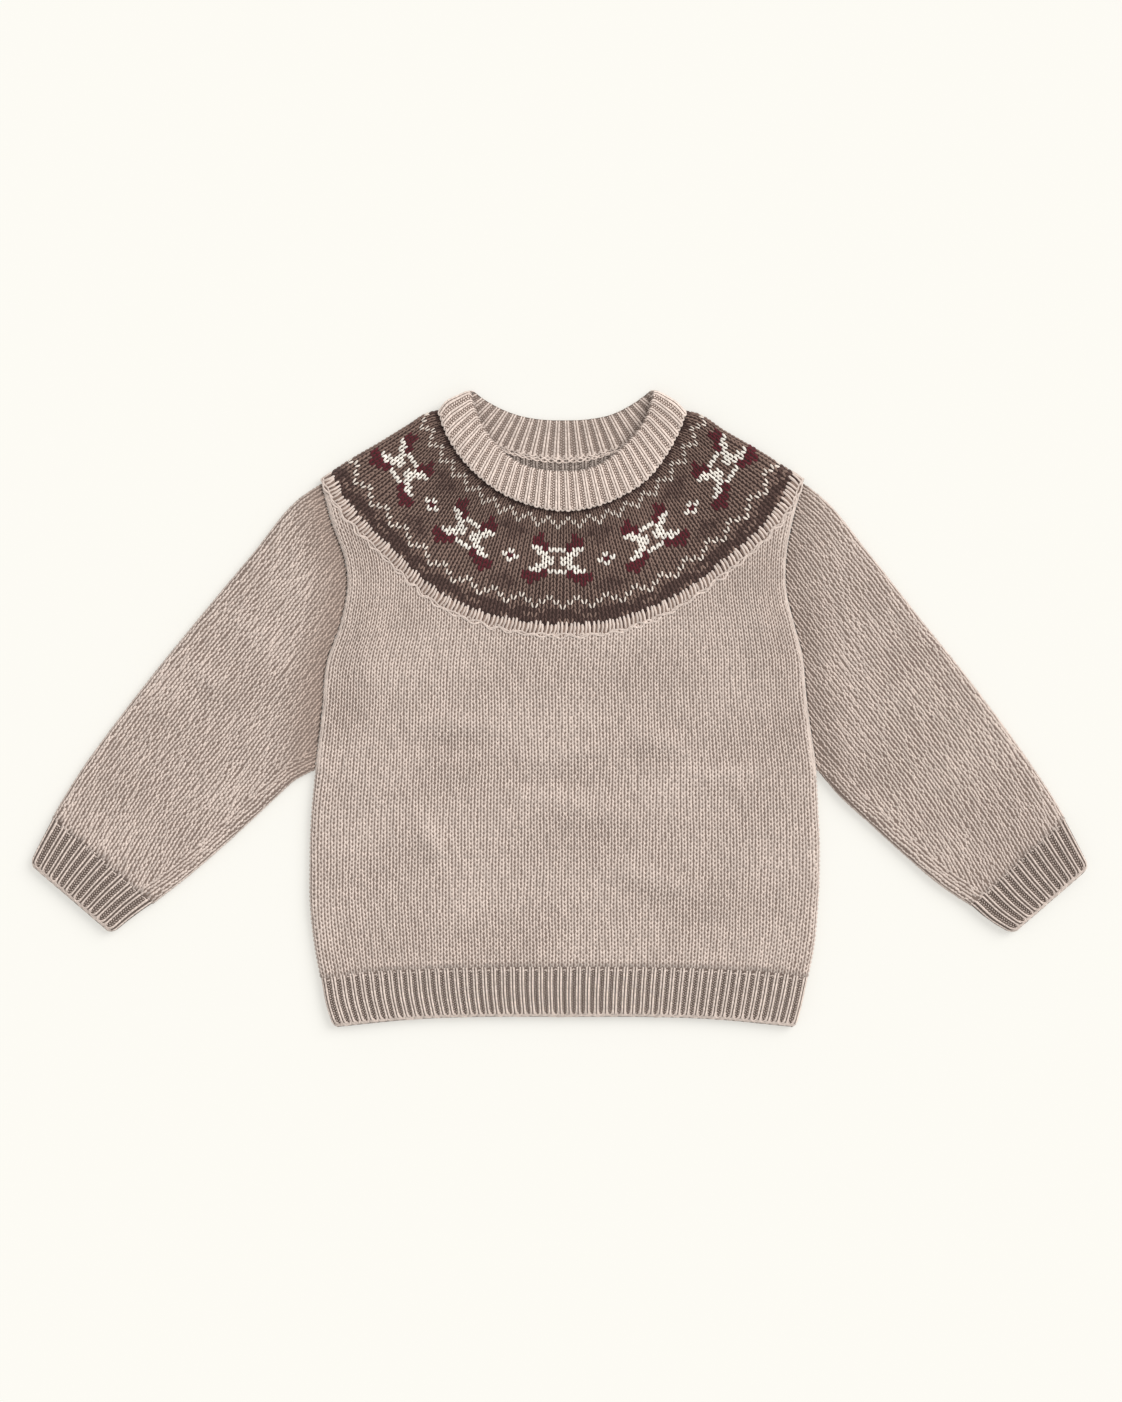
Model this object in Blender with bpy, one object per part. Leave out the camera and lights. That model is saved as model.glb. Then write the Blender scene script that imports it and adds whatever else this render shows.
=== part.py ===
"""A child's round-yoke knitted pullover that lies flat on its back, sleeves out and down.

The frame is the pullover's own: +X to the wearer's left, +Y to the neck, +Z up out of the surface
it lies on, with the origin under the middle of its length and width. Two layers of cloth lie on
each other. The neckband, yoke, sleeves and cuffs are flattened tubes, and the body and its hem are
a front and a back panel that meet at the side seams.
"""

import math

import bmesh
import bpy
import numpy as np

MM = 0.001

# Thicknesses and heights, in millimetres
WALL = 2.2
RIB_WALL = 2.4
BAND_WALL = 4.2
SEAM_GAP = 0.3
HEIGHT = 7.2
BAND_HEIGHT = 10.0
ARMHOLE_HEIGHT = 5.0
ARMHOLE_EDGE = 5.4
ARMHOLE_RISE = 16.0
ROLL = 5.0
BAND_ROLL = 6.0
RIB_RISE = 0.7
RIB_CREST = 0.55

# Ribs that show across each ribbed band
HEM_RIBS = 52
CUFF_RIBS = 11
BAND_FRONT_RIBS = 32
BAND_BACK_RIBS = 22

# Plan lines in millimetres, each row an x and a y, from the wearer's right to the left
YOKE_EDGE_FRONT = (
    (-160.3, 154.6), (-150.9, 137.1), (-118.6, 102.1), (-79.6, 67.9), (-29.2, 51.1), (0.3, 48.4),
    (44.0, 52.7), (79.0, 67.2), (112.4, 90.9), (141.5, 116.7), (155.5, 134.4), (164.0, 154.6),
)
YOKE_EDGE_BACK = (
    (-160.3, 154.6), (-140.0, 128.0), (-100.0, 101.0), (-50.0, 84.5), (1.8, 80.0),
    (53.0, 84.5), (103.5, 101.0), (143.5, 128.0), (164.0, 154.6),
)
NECK_SEAM_FRONT = (
    (-81.6, 200.3), (-76.9, 186.8), (-68.2, 171.4), (-54.1, 155.9), (-36.0, 143.1), (-16.5, 135.7),
    (1.4, 132.7), (21.8, 135.1), (41.3, 142.5), (58.1, 153.6), (72.2, 171.4), (80.3, 186.8), (85.3, 199.9),
)
NECK_SEAM_BACK = (
    (-81.6, 200.3), (-60.0, 184.5), (-38.6, 175.4), (-18.0, 169.9), (2.7, 168.3),
    (21.0, 169.9), (40.0, 175.4), (63.0, 184.5), (85.3, 199.9),
)
NECK_TOP_FRONT = (
    (-60.1, 214.6), (-54.1, 194.9), (-47.4, 183.1), (-38.6, 172.7), (-25.9, 164.0), (-11.8, 159.9),
    (1.4, 159.0), (15.5, 159.9), (28.4, 164.6), (38.6, 172.0), (47.4, 180.8), (56.8, 193.2), (63.5, 215.0),
)
NECK_TOP_BACK = (
    (-60.1, 214.6), (-48.7, 206.3), (-29.2, 197.3), (-14.0, 194.2), (2.7, 193.5),
    (19.2, 194.2), (34.6, 197.3), (50.0, 205.0), (63.5, 215.0),
)
HEM_TOP = (
    (-160.6, -183.3), (-135.4, -179.4), (-103.2, -177.4), (4.4, -175.4),
    (111.9, -177.4), (144.1, -179.4), (167.2, -182.8),
)
HEM_EDGE = ((-152.6, -214.7), (-103.2, -209.7), (4.4, -207.6), (109.9, -209.7), (159.6, -214.7))

# Plan lines of each side in millimetres, each from the neck or body outwards
SIDES = {
    "right": {
        "neck_fold": ((-60.1, 214.6), (-68.9, 211.0), (-76.9, 207.0), (-81.6, 200.3)),
        "shoulder": ((-81.6, 200.3), (-88.4, 198.9), (-101.8, 190.8), (-121.3, 178.8), (-142.1, 166.7),
                     (-160.3, 154.6)),
        "armhole": ((-160.2, 151.0), (-153.6, 125.7), (-144.1, 98.1), (-142.8, 88.0), (-146.8, 59.1),
                    (-156.9, 29.6), (-159.6, 0.0), (-164.6, -41.9)),
        "side": ((-164.3, -41.7), (-167.0, -68.5), (-168.3, -108.9), (-168.3, -129.0), (-165.0, -159.3),
                 (-160.6, -183.3)),
        "hem_side": ((-160.6, -183.3), (-157.6, -199.6), (-152.6, -214.7)),
        "sleeve_top": ((-160.2, 151.0), (-172.4, 143.1), (-207.3, 102.8), (-240.9, 62.5), (-273.8, 22.2),
                       (-304.8, -18.1), (-319.5, -38.3), (-332.3, -58.5), (-341.3, -73.9)),
        "sleeve_under": ((-164.6, -41.9), (-177.1, -48.4), (-188.5, -58.5), (-210.0, -78.6),
                         (-232.2, -98.8), (-256.4, -118.9), (-273.2, -131.7)),
        "cuff_top": ((-341.3, -73.9), (-349.1, -88.7), (-356.9, -104.2)),
        "cuff_under": ((-273.2, -131.7), (-283.9, -139.1), (-300.7, -152.5)),
    },
    "left": {
        "neck_fold": ((63.5, 215.0), (72.0, 211.0), (78.8, 207.0), (85.3, 199.9)),
        "shoulder": ((85.3, 199.9), (91.1, 198.9), (111.2, 186.8), (138.8, 170.7), (164.0, 154.6)),
        "armhole": ((164.4, 151.2), (156.9, 126.3), (152.2, 96.8), (152.2, 82.0), (158.6, 53.8),
                    (163.3, 36.3), (166.0, 8.1), (173.1, -41.9)),
        "side": ((172.8, -41.7), (174.2, -68.5), (175.1, -88.7), (174.4, -129.0), (171.7, -159.3),
                 (167.2, -182.8)),
        "hem_side": ((167.2, -182.8), (163.6, -199.6), (159.6, -214.7)),
        "sleeve_top": ((164.4, 151.2), (175.1, 143.1), (209.3, 102.8), (240.9, 62.5), (273.2, 22.2),
                       (303.4, -18.1), (317.5, -38.3), (331.0, -58.5), (340.4, -74.6)),
        "sleeve_under": ((173.1, -41.9), (187.2, -58.5), (209.3, -78.6), (231.5, -98.8), (255.0, -118.9),
                         (276.2, -133.1)),
        "cuff_top": ((340.4, -74.6), (347.8, -88.7), (357.0, -106.8)),
        "cuff_under": ((276.2, -133.1), (288.0, -143.0), (304.1, -152.5)),
    },
}

# Where the body's top corner starts below the shoulder tip, as a share of the yoke's edge
CORNER_SHARE = 0.035

# Soft folds: middle x and y, length, half width and rise in millimetres, turn in degrees
FOLDS = (
    (-73.6, -9.4, 95.0, 9.0, 0.7, 0.0),
    (-73.6, -24.0, 95.0, 7.0, -0.5, 2.0),
    (-120.0, -50.0, 70.0, 10.0, 0.7, 20.0),
    (10.0, -30.0, 95.0, 8.0, 0.6, 8.0),
    (66.0, -22.0, 65.0, 9.0, 0.6, -18.0),
    (112.0, -45.0, 75.0, 8.0, 0.6, 6.0),
    (0.0, -49.0, 110.0, 8.0, -0.5, 0.0),
    (22.0, -69.0, 100.0, 9.0, 0.5, -9.0),
    (-84.0, -90.0, 62.0, 9.0, 0.6, -65.0),
    (68.0, -116.0, 100.0, 9.0, 0.6, -18.0),
    (-128.0, 46.0, 120.0, 14.0, 0.8, 85.0),
    (138.0, 58.0, 120.0, 12.0, 0.8, -84.0),
    (-236.0, 22.0, 60.0, 9.0, 0.6, -42.0),
    (-205.0, 50.0, 70.0, 10.0, 0.5, -50.0),
    (236.0, 15.0, 70.0, 10.0, 0.6, 44.0),
)

# Colours and roughness of each yarn
YARNS = {
    "beige": ((0.46, 0.39, 0.34), 0.92),
    "brown": ((0.13, 0.075, 0.06), 0.94),
}


def line_through(points, count=240):
    """A smooth line through the points, its samples spread evenly along it."""
    points = np.array(points, dtype=float)
    steps = np.linalg.norm(np.diff(points, axis=0), axis=1)
    stations = np.concatenate([[0.0], np.cumsum(steps)])
    slopes = np.gradient(points, stations, axis=0)
    samples = np.linspace(0.0, stations[-1], count)
    piece = np.clip(np.searchsorted(stations, samples, side="right") - 1, 0, len(steps) - 1)
    t = ((samples - stations[piece]) / steps[piece])[:, None]
    reach = steps[piece][:, None]
    return (
        (2 * t**3 - 3 * t**2 + 1) * points[piece]
        + (t**3 - 2 * t**2 + t) * reach * slopes[piece]
        + (3 * t**2 - 2 * t**3) * points[piece + 1]
        + (t**3 - t**2) * reach * slopes[piece + 1]
    )


def length_of(line):
    return np.linalg.norm(np.diff(line, axis=0), axis=1).sum()


def along(line, share):
    """The points at shares of a line's length."""
    steps = np.linalg.norm(np.diff(line, axis=0), axis=1)
    stations = np.concatenate([[0.0], np.cumsum(steps)])
    stations /= stations[-1]
    return np.stack([np.interp(share, stations, line[:, axis]) for axis in (0, 1)], axis=-1)


def beside(line, distance):
    """The line moved sideways, to the right of its direction."""
    slopes = np.gradient(line, axis=0)
    slopes /= np.linalg.norm(slopes, axis=1)[:, None]
    return line + distance * np.stack([slopes[:, 1], -slopes[:, 0]], axis=1)


def patch(near, far, first, last):
    """A plan surface between four lines: near and far run across, first and last run along."""
    corners = near[0], near[-1], far[0], far[-1]

    def plan(across, out):
        across, out = np.broadcast_arrays(np.asarray(across, float), np.asarray(out, float))
        u, v = across[..., None], out[..., None]
        ruled = (1 - v) * along(near, across) + v * along(far, across)
        ruled = ruled + (1 - u) * along(first, out) + u * along(last, out)
        a, b, c, d = corners
        return ruled - ((1 - u) * (1 - v) * a + u * (1 - v) * b + (1 - u) * v * c + u * v * d)

    return plan


def rolled(distance, roll):
    """How far round its rolled edge the cloth has come, from 0 at the edge to 1 on the flat."""
    return np.sqrt(np.clip(1 - (1 - np.clip(distance / roll, 0, 1)) ** 2, 0, 1))


def edge_steps(width, inset, roll, turns, middle):
    """Distances across a width: round each rolled edge, then at the middle shares between them."""
    turn = np.linspace(0, math.pi / 2, turns + 1)[:-1]
    start = inset + (roll - inset) * (1 - np.cos(turn))
    between = roll + (width - 2 * roll) * np.asarray(middle)
    return np.concatenate([start, between, width - start[::-1]])


def even(count):
    return np.linspace(0, 1, count + 1)


def rib_steps(count):
    """Shares across a ribbed band: both shoulders of each rib, and the groove after it."""
    shoulders = (0.5 - RIB_CREST / 2, 0.5 + RIB_CREST / 2, 1.0)
    return np.array([0.0] + [(rib + share) / count for rib in range(count) for share in shoulders])


def rib_rises(total, count, turns):
    """How high the ribs stand at each step across a width, from one rolled edge to the other."""
    rises = np.zeros(total)
    rises[turns:total - turns] = [0.0] + [RIB_RISE, RIB_RISE, 0.0] * count
    return rises


def folds_at(places):
    """The rise of the soft folds over places in plan."""
    rise = np.zeros(places.shape[:-1])
    for x, y, length, width, height, turn in FOLDS:
        direction = np.array([math.cos(math.radians(turn)), math.sin(math.radians(turn))])
        offset = places - np.array([x, y])
        run = np.clip(offset @ direction / (length / 2), -1, 1)
        aside = (offset[..., 1] * direction[0] - offset[..., 0] * direction[1]) / width
        rise += height * np.cos(run * math.pi / 2) ** 2 * np.exp(-(aside**2))
    return rise


def cloth(name, outer, inner, closed, collection, material):
    """A closed wall between an outer grid and an inner one, whose steps may be fewer by a whole ratio."""
    mesh = bmesh.new()
    outer, inner = [[[mesh.verts.new(point * MM) for point in row] for row in grid] for grid in (outer, inner)]
    wrap = 1 if closed else 0
    for skin in (outer, inner):
        for near, far in zip(skin, skin[1:]):
            for i in range(len(near) - 1 + wrap):
                j = (i + 1) % len(near)
                mesh.faces.new((near[i], near[j], far[j], far[i]))

    def rim(fine, coarse):
        ratio = (len(fine) - 1 + wrap) // (len(coarse) - 1 + wrap)
        for i in range(len(coarse) - 1 + wrap):
            run = [fine[(i * ratio + k) % len(fine)] for k in range(ratio, -1, -1)]
            mesh.faces.new([coarse[i], coarse[(i + 1) % len(coarse)]] + run)

    rim(outer[0], inner[0])
    rim(outer[-1], inner[-1])
    if not closed:
        rim([row[0] for row in outer], [row[0] for row in inner])
        rim([row[-1] for row in outer], [row[-1] for row in inner])
    bmesh.ops.triangulate(mesh, faces=mesh.faces)
    bmesh.ops.recalc_face_normals(mesh, faces=mesh.faces)
    data = bpy.data.meshes.new(name)
    mesh.to_mesh(data)
    mesh.free()
    data.shade_smooth()
    data.set_sharp_from_angle(angle=math.radians(50))
    data.materials.append(material)
    collection.objects.link(bpy.data.objects.new(name, data))


def sheet_row(plan, share, steps, inset, roll, turns, edge_level, flat_level):
    """One row across a layer of cloth, from the level of its edges to the level of its flat."""
    width = length_of(plan(even(60), share))
    distance = edge_steps(width, inset, roll, turns, steps)
    places = plan(distance / width, share)
    turned = rolled(np.minimum(distance, width - distance) - inset, roll - inset)
    edge = edge_level(places)
    z = edge + (flat_level(places, share) - edge) * turned
    return np.column_stack([places, z])


def ring(plans, out, steps, inset, middle, roll, turns, levels, ribs=(0, 0)):
    """One skin of a flattened tube: each row goes over the top and back along the underside."""
    grid = []
    for share in out:
        over, back = (
            sheet_row(plan, share, step, inset, roll, turns, lambda places: np.full(len(places), middle), flat)
            for plan, step, flat in zip(plans, steps, levels)
        )
        for row, count in ((over, ribs[0]), (back, ribs[1])):
            if count:
                row[:, 2] += rib_rises(len(row), count, turns)
        grid.append(np.concatenate([over, back[-2:0:-1]]))
    return grid


def level(height, edge_drop=0.0):
    """A flat level that drops towards the first row by so much."""
    return lambda places, share: np.full(len(places), height - edge_drop * (share == 0))


def smooth_lines(side):
    return {key: line_through(rows) for key, rows in SIDES[side].items()}


def make_sleeve(side, collection, material):
    """A flattened tube from the armhole to the cuff, lower where the body's edge rolls onto it."""
    lines = smooth_lines(side)
    armhole = beside(lines["armhole"], SEAM_GAP if side == "right" else -SEAM_GAP)
    top, under = lines["sleeve_top"], lines["sleeve_under"]
    top[0], under[0] = armhole[0], armhole[-1]
    plan = patch(armhole, np.linspace(top[-1], under[-1], 40), top, under)
    reach = length_of(top)

    def top_level(places, share):
        rise = (HEIGHT - ARMHOLE_HEIGHT) * rolled(share * reach, ARMHOLE_RISE)
        return ARMHOLE_HEIGHT + rise + folds_at(places) * min(1.0, share * reach / ARMHOLE_RISE)

    def lining_level(places, share):
        return top_level(places, share) - folds_at(places) - WALL

    near_body = np.array([0, 0.1, 0.3, 0.6]) * ARMHOLE_RISE / reach
    out = np.concatenate([near_body, np.linspace(ARMHOLE_RISE / reach, 1, 14)])
    steps = even(20), even(20)
    outer = ring((plan, plan), out, steps, 0.0, HEIGHT / 2, ROLL, 3, (top_level, level(0.0)))
    inner = ring((plan, plan), out, steps, WALL, HEIGHT / 2, ROLL, 3, (lining_level, level(WALL)))
    cloth(f"sleeve_{side}", outer, inner, True, collection, material)


def make_cuff(side, collection, material):
    """A ribbed tube that carries the sleeve on to the wrist."""
    lines = smooth_lines(side)
    top, under = lines["cuff_top"], lines["cuff_under"]
    outward = SEAM_GAP * np.array([-0.6 if side == "right" else 0.6, -0.8])
    start = np.linspace(top[0] + outward, under[0] + outward, 40)
    top[0], under[0] = start[0], start[-1]
    plan = patch(start, np.linspace(top[-1], under[-1], 40), top, under)
    out = np.array([0.0, 0.08, 0.5, 0.94, 1.0])
    drop = {0.0: 0.5, 1.0: 0.9}

    def top_level(places, share):
        return np.full(len(places), HEIGHT - RIB_RISE / 2 - drop.get(share, 0.0))

    outer = ring((plan, plan), out, (rib_steps(CUFF_RIBS), even(6)), 0.0, HEIGHT / 2, ROLL, 3,
                 (top_level, level(0.0)), (CUFF_RIBS, 0))
    inner = ring((plan, plan), out[::2], (even(CUFF_RIBS), even(2)), RIB_WALL, HEIGHT / 2, ROLL, 1,
                 (level(HEIGHT - RIB_RISE / 2 - RIB_WALL - 0.5), level(RIB_WALL)))
    cloth(f"cuff_{side}", outer, inner, True, collection, material)


def make_yoke(collection, material):
    """The round yoke: its front lies on its back, folded along both shoulders."""
    plans = []
    for seam, edge in ((NECK_SEAM_FRONT, YOKE_EDGE_FRONT), (NECK_SEAM_BACK, YOKE_EDGE_BACK)):
        near, far = beside(line_through(seam), SEAM_GAP), line_through(edge)
        first, last = smooth_lines("right")["shoulder"], smooth_lines("left")["shoulder"]
        first[0], last[0] = near[0], near[-1]
        plans.append(patch(near, far, first, last))
    out = np.concatenate([[0, 0.03], np.linspace(0.15, 1, 7)])
    steps = even(42), even(36)
    outer = ring(plans, out, steps, 0.0, HEIGHT / 2, ROLL, 3, (level(HEIGHT), level(0.0)))
    inner = ring(plans, out, steps, WALL, HEIGHT / 2, ROLL, 3, (level(HEIGHT - WALL), level(WALL)))
    cloth("yoke", outer, inner, True, collection, material)


def make_neckband(collection, material):
    """The doubled rib round the neck, ribbed on the front's face and on the back's inner face."""
    plans = []
    for top, seam in ((NECK_TOP_FRONT, NECK_SEAM_FRONT), (NECK_TOP_BACK, NECK_SEAM_BACK)):
        first, last = smooth_lines("right")["neck_fold"], smooth_lines("left")["neck_fold"]
        plans.append(patch(line_through(top), line_through(seam), first, last))
    steps = rib_steps(BAND_FRONT_RIBS), rib_steps(BAND_BACK_RIBS)
    out = np.array([0.0, 0.09, 0.95, 1.0])
    edge_drop = 1.2
    top = BAND_HEIGHT - RIB_RISE
    outer = ring(plans, out, steps, 0.0, BAND_HEIGHT / 2, BAND_ROLL, 3,
                 (level(top, edge_drop), level(0.0)), (BAND_FRONT_RIBS, 0))
    inner = ring(plans, out, steps, BAND_WALL, BAND_HEIGHT / 2, BAND_ROLL, 3,
                 (level(top - BAND_WALL, -edge_drop), level(BAND_WALL - RIB_RISE, edge_drop)),
                 (0, BAND_BACK_RIBS))
    cloth("neckband", outer, inner, True, collection, material)


def body_side(side, corner):
    """A body panel's edge, from the hem up the side seam and the armhole to the corner."""
    lines = smooth_lines(side)
    seam, armhole = lines["side"][::-1], lines["armhole"][::-1]
    armhole = armhole[(armhole[:, 1] > seam[-1, 1] + 4) & (armhole[:, 1] < corner[1] - 6)]
    return line_through(np.concatenate([seam[::24], armhole[::6], [corner]]))


def body_plan(edge):
    """A body panel's plan between the hem and the yoke's edge."""
    far = beside(line_through(edge), SEAM_GAP)
    far = along(far, np.linspace(CORNER_SHARE, 1 - CORNER_SHARE, 240))
    first, last = body_side("right", far[0]), body_side("left", far[-1])
    near = beside(line_through(HEM_TOP), -SEAM_GAP)
    near[0], near[-1] = first[0], last[0]
    return patch(near, far, first, last)


def side_edge_level(at_side, at_armhole, underarm):
    """The level of a panel's edges: one along the side seam, another along the armhole."""
    def edge_level(places):
        ends = places[[0, -1], 1]
        share = np.clip((ends - underarm) / ROLL, 0, 1)
        levels = at_side + (at_armhole - at_side) * share
        return np.repeat(levels, [len(places) // 2, len(places) - len(places) // 2])

    return edge_level


def panel(plan, out, steps, inset, turns, edge_level, flat_level):
    return [sheet_row(plan, share, steps, inset, ROLL, turns, edge_level, flat_level) for share in out]


def make_body(collection, material):
    """The front and back panels, which meet half way up at the side seams."""
    underarm = SIDES["right"]["armhole"][-1][1]
    seam = HEIGHT / 2 + SEAM_GAP / 2

    def front_level(places, share):
        return HEIGHT + folds_at(places)

    plan = body_plan(YOKE_EDGE_FRONT)
    rows, steps = even(36), even(32)
    outer = panel(plan, rows, steps, 0.0, 3, side_edge_level(seam, ARMHOLE_EDGE, underarm), front_level)
    inner = panel(plan, rows, steps, WALL, 3, side_edge_level(seam, ARMHOLE_EDGE - WALL, underarm),
                  level(HEIGHT - WALL))
    cloth("body_front", outer, inner, False, collection, material)

    plan = body_plan(YOKE_EDGE_BACK)
    seam -= SEAM_GAP
    outer = panel(plan, rows, steps, 0.0, 3, side_edge_level(seam, 0.0, underarm), level(0.0))
    inner = panel(plan, rows, steps, WALL, 3, side_edge_level(seam, WALL, underarm), level(WALL))
    cloth("body_back", outer, inner, False, collection, material)


def make_hem(collection, material):
    """The ribbed hem: ribs on the front's face, and a plain back that rests flat."""
    first, last = (smooth_lines(side)["hem_side"][::-1] for side in ("right", "left"))
    plan = patch(line_through(HEM_EDGE), line_through(HEM_TOP), first, last)
    seam = HEIGHT / 2 + SEAM_GAP / 2
    face = HEIGHT - RIB_RISE / 2
    out = np.array([0.0, 0.06, 0.94, 1.0])

    def seam_level(z):
        return lambda places: np.full(len(places), z)

    outer = panel(plan, out, rib_steps(HEM_RIBS), 0.0, 3, seam_level(seam), level(face, 0.9))
    for row in outer:
        row[:, 2] += rib_rises(len(row), HEM_RIBS, 3)
    inner = panel(plan, out[[0, 3]], even(HEM_RIBS), RIB_WALL, 1, seam_level(seam), level(face - RIB_WALL - 0.4))
    cloth("hem_front", outer, inner, False, collection, material)

    seam -= SEAM_GAP
    outer = panel(plan, out, even(32), 0.0, 3, seam_level(seam), level(0.0))
    inner = panel(plan, out, even(32), RIB_WALL, 3, seam_level(seam), level(RIB_WALL))
    cloth("hem_back", outer, inner, False, collection, material)


def make_yarn(name):
    colour, roughness = YARNS[name]
    material = bpy.data.materials.new(f"{name}_yarn")
    material.use_nodes = True
    shader = material.node_tree.nodes["Principled BSDF"]
    shader.inputs["Base Color"].default_value = (*colour, 1.0)
    shader.inputs["Roughness"].default_value = roughness
    shader.inputs["Metallic"].default_value = 0.0
    return material


def main():
    for old in list(bpy.data.objects):
        bpy.data.objects.remove(old)
    collection = bpy.data.collections.new("pullover")
    bpy.context.scene.collection.children.link(collection)
    beige, brown = make_yarn("beige"), make_yarn("brown")
    for side in SIDES:
        make_sleeve(side, collection, beige)
        make_cuff(side, collection, beige)
    make_body(collection, beige)
    make_hem(collection, beige)
    make_yoke(collection, brown)
    make_neckband(collection, beige)


main()
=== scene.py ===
"""How the child's round-yoke pullover looks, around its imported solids.

Each garment piece is a thin closed cloth of its own, with its knit stitches on it as a second piece:
every leg of every stitch is a short leaf of yarn that is sunk at both ends and stands up in its middle.
Lines and heights are in millimetres, as in the CAD source, and become metres in the meshes.
"""

import math

import bmesh
import bpy
import numpy as np
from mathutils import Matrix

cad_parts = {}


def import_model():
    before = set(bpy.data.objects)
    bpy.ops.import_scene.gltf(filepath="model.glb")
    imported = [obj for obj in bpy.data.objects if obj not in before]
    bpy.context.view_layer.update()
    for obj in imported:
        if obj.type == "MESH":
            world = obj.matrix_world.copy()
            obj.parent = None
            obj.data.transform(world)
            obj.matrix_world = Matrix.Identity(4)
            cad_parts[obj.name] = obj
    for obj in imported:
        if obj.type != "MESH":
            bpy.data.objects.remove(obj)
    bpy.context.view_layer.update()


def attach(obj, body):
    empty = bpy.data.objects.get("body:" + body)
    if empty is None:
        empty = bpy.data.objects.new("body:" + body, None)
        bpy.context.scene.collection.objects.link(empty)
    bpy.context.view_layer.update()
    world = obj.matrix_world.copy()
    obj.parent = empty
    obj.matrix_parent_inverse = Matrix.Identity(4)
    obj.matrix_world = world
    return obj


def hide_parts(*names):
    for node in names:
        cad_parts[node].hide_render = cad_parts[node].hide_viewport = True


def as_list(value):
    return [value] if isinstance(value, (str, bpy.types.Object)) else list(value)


MM = 0.001

# Plan lines in millimetres, each row an x and a y, from the wearer's right to the left
YOKE_EDGE_FRONT = (
    (-160.3, 154.6), (-150.9, 137.1), (-118.6, 102.1), (-79.6, 67.9), (-29.2, 51.1), (0.3, 48.4),
    (44.0, 52.7), (79.0, 67.2), (112.4, 90.9), (141.5, 116.7), (155.5, 134.4), (164.0, 154.6),
)
YOKE_EDGE_BACK = (
    (-160.3, 154.6), (-140.0, 128.0), (-100.0, 101.0), (-50.0, 84.5), (1.8, 80.0),
    (53.0, 84.5), (103.5, 101.0), (143.5, 128.0), (164.0, 154.6),
)
NECK_SEAM_FRONT = (
    (-81.6, 200.3), (-76.9, 186.8), (-68.2, 171.4), (-54.1, 155.9), (-36.0, 143.1), (-16.5, 135.7),
    (1.4, 132.7), (21.8, 135.1), (41.3, 142.5), (58.1, 153.6), (72.2, 171.4), (80.3, 186.8), (85.3, 199.9),
)
NECK_SEAM_BACK = (
    (-81.6, 200.3), (-60.0, 184.5), (-38.6, 175.4), (-18.0, 169.9), (2.7, 168.3),
    (21.0, 169.9), (40.0, 175.4), (63.0, 184.5), (85.3, 199.9),
)
NECK_TOP_FRONT = (
    (-60.1, 214.6), (-54.1, 194.9), (-47.4, 183.1), (-38.6, 172.7), (-25.9, 164.0), (-11.8, 159.9),
    (1.4, 159.0), (15.5, 159.9), (28.4, 164.6), (38.6, 172.0), (47.4, 180.8), (56.8, 193.2), (63.5, 215.0),
)
NECK_TOP_BACK = (
    (-60.1, 214.6), (-48.7, 206.3), (-29.2, 197.3), (-14.0, 194.2), (2.7, 193.5),
    (19.2, 194.2), (34.6, 197.3), (50.0, 205.0), (63.5, 215.0),
)
HEM_TOP = (
    (-160.6, -183.3), (-135.4, -179.4), (-103.2, -177.4), (4.4, -175.4),
    (111.9, -177.4), (144.1, -179.4), (167.2, -182.8),
)
HEM_EDGE = ((-152.6, -214.7), (-103.2, -209.7), (4.4, -207.6), (109.9, -209.7), (159.6, -214.7))

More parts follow.
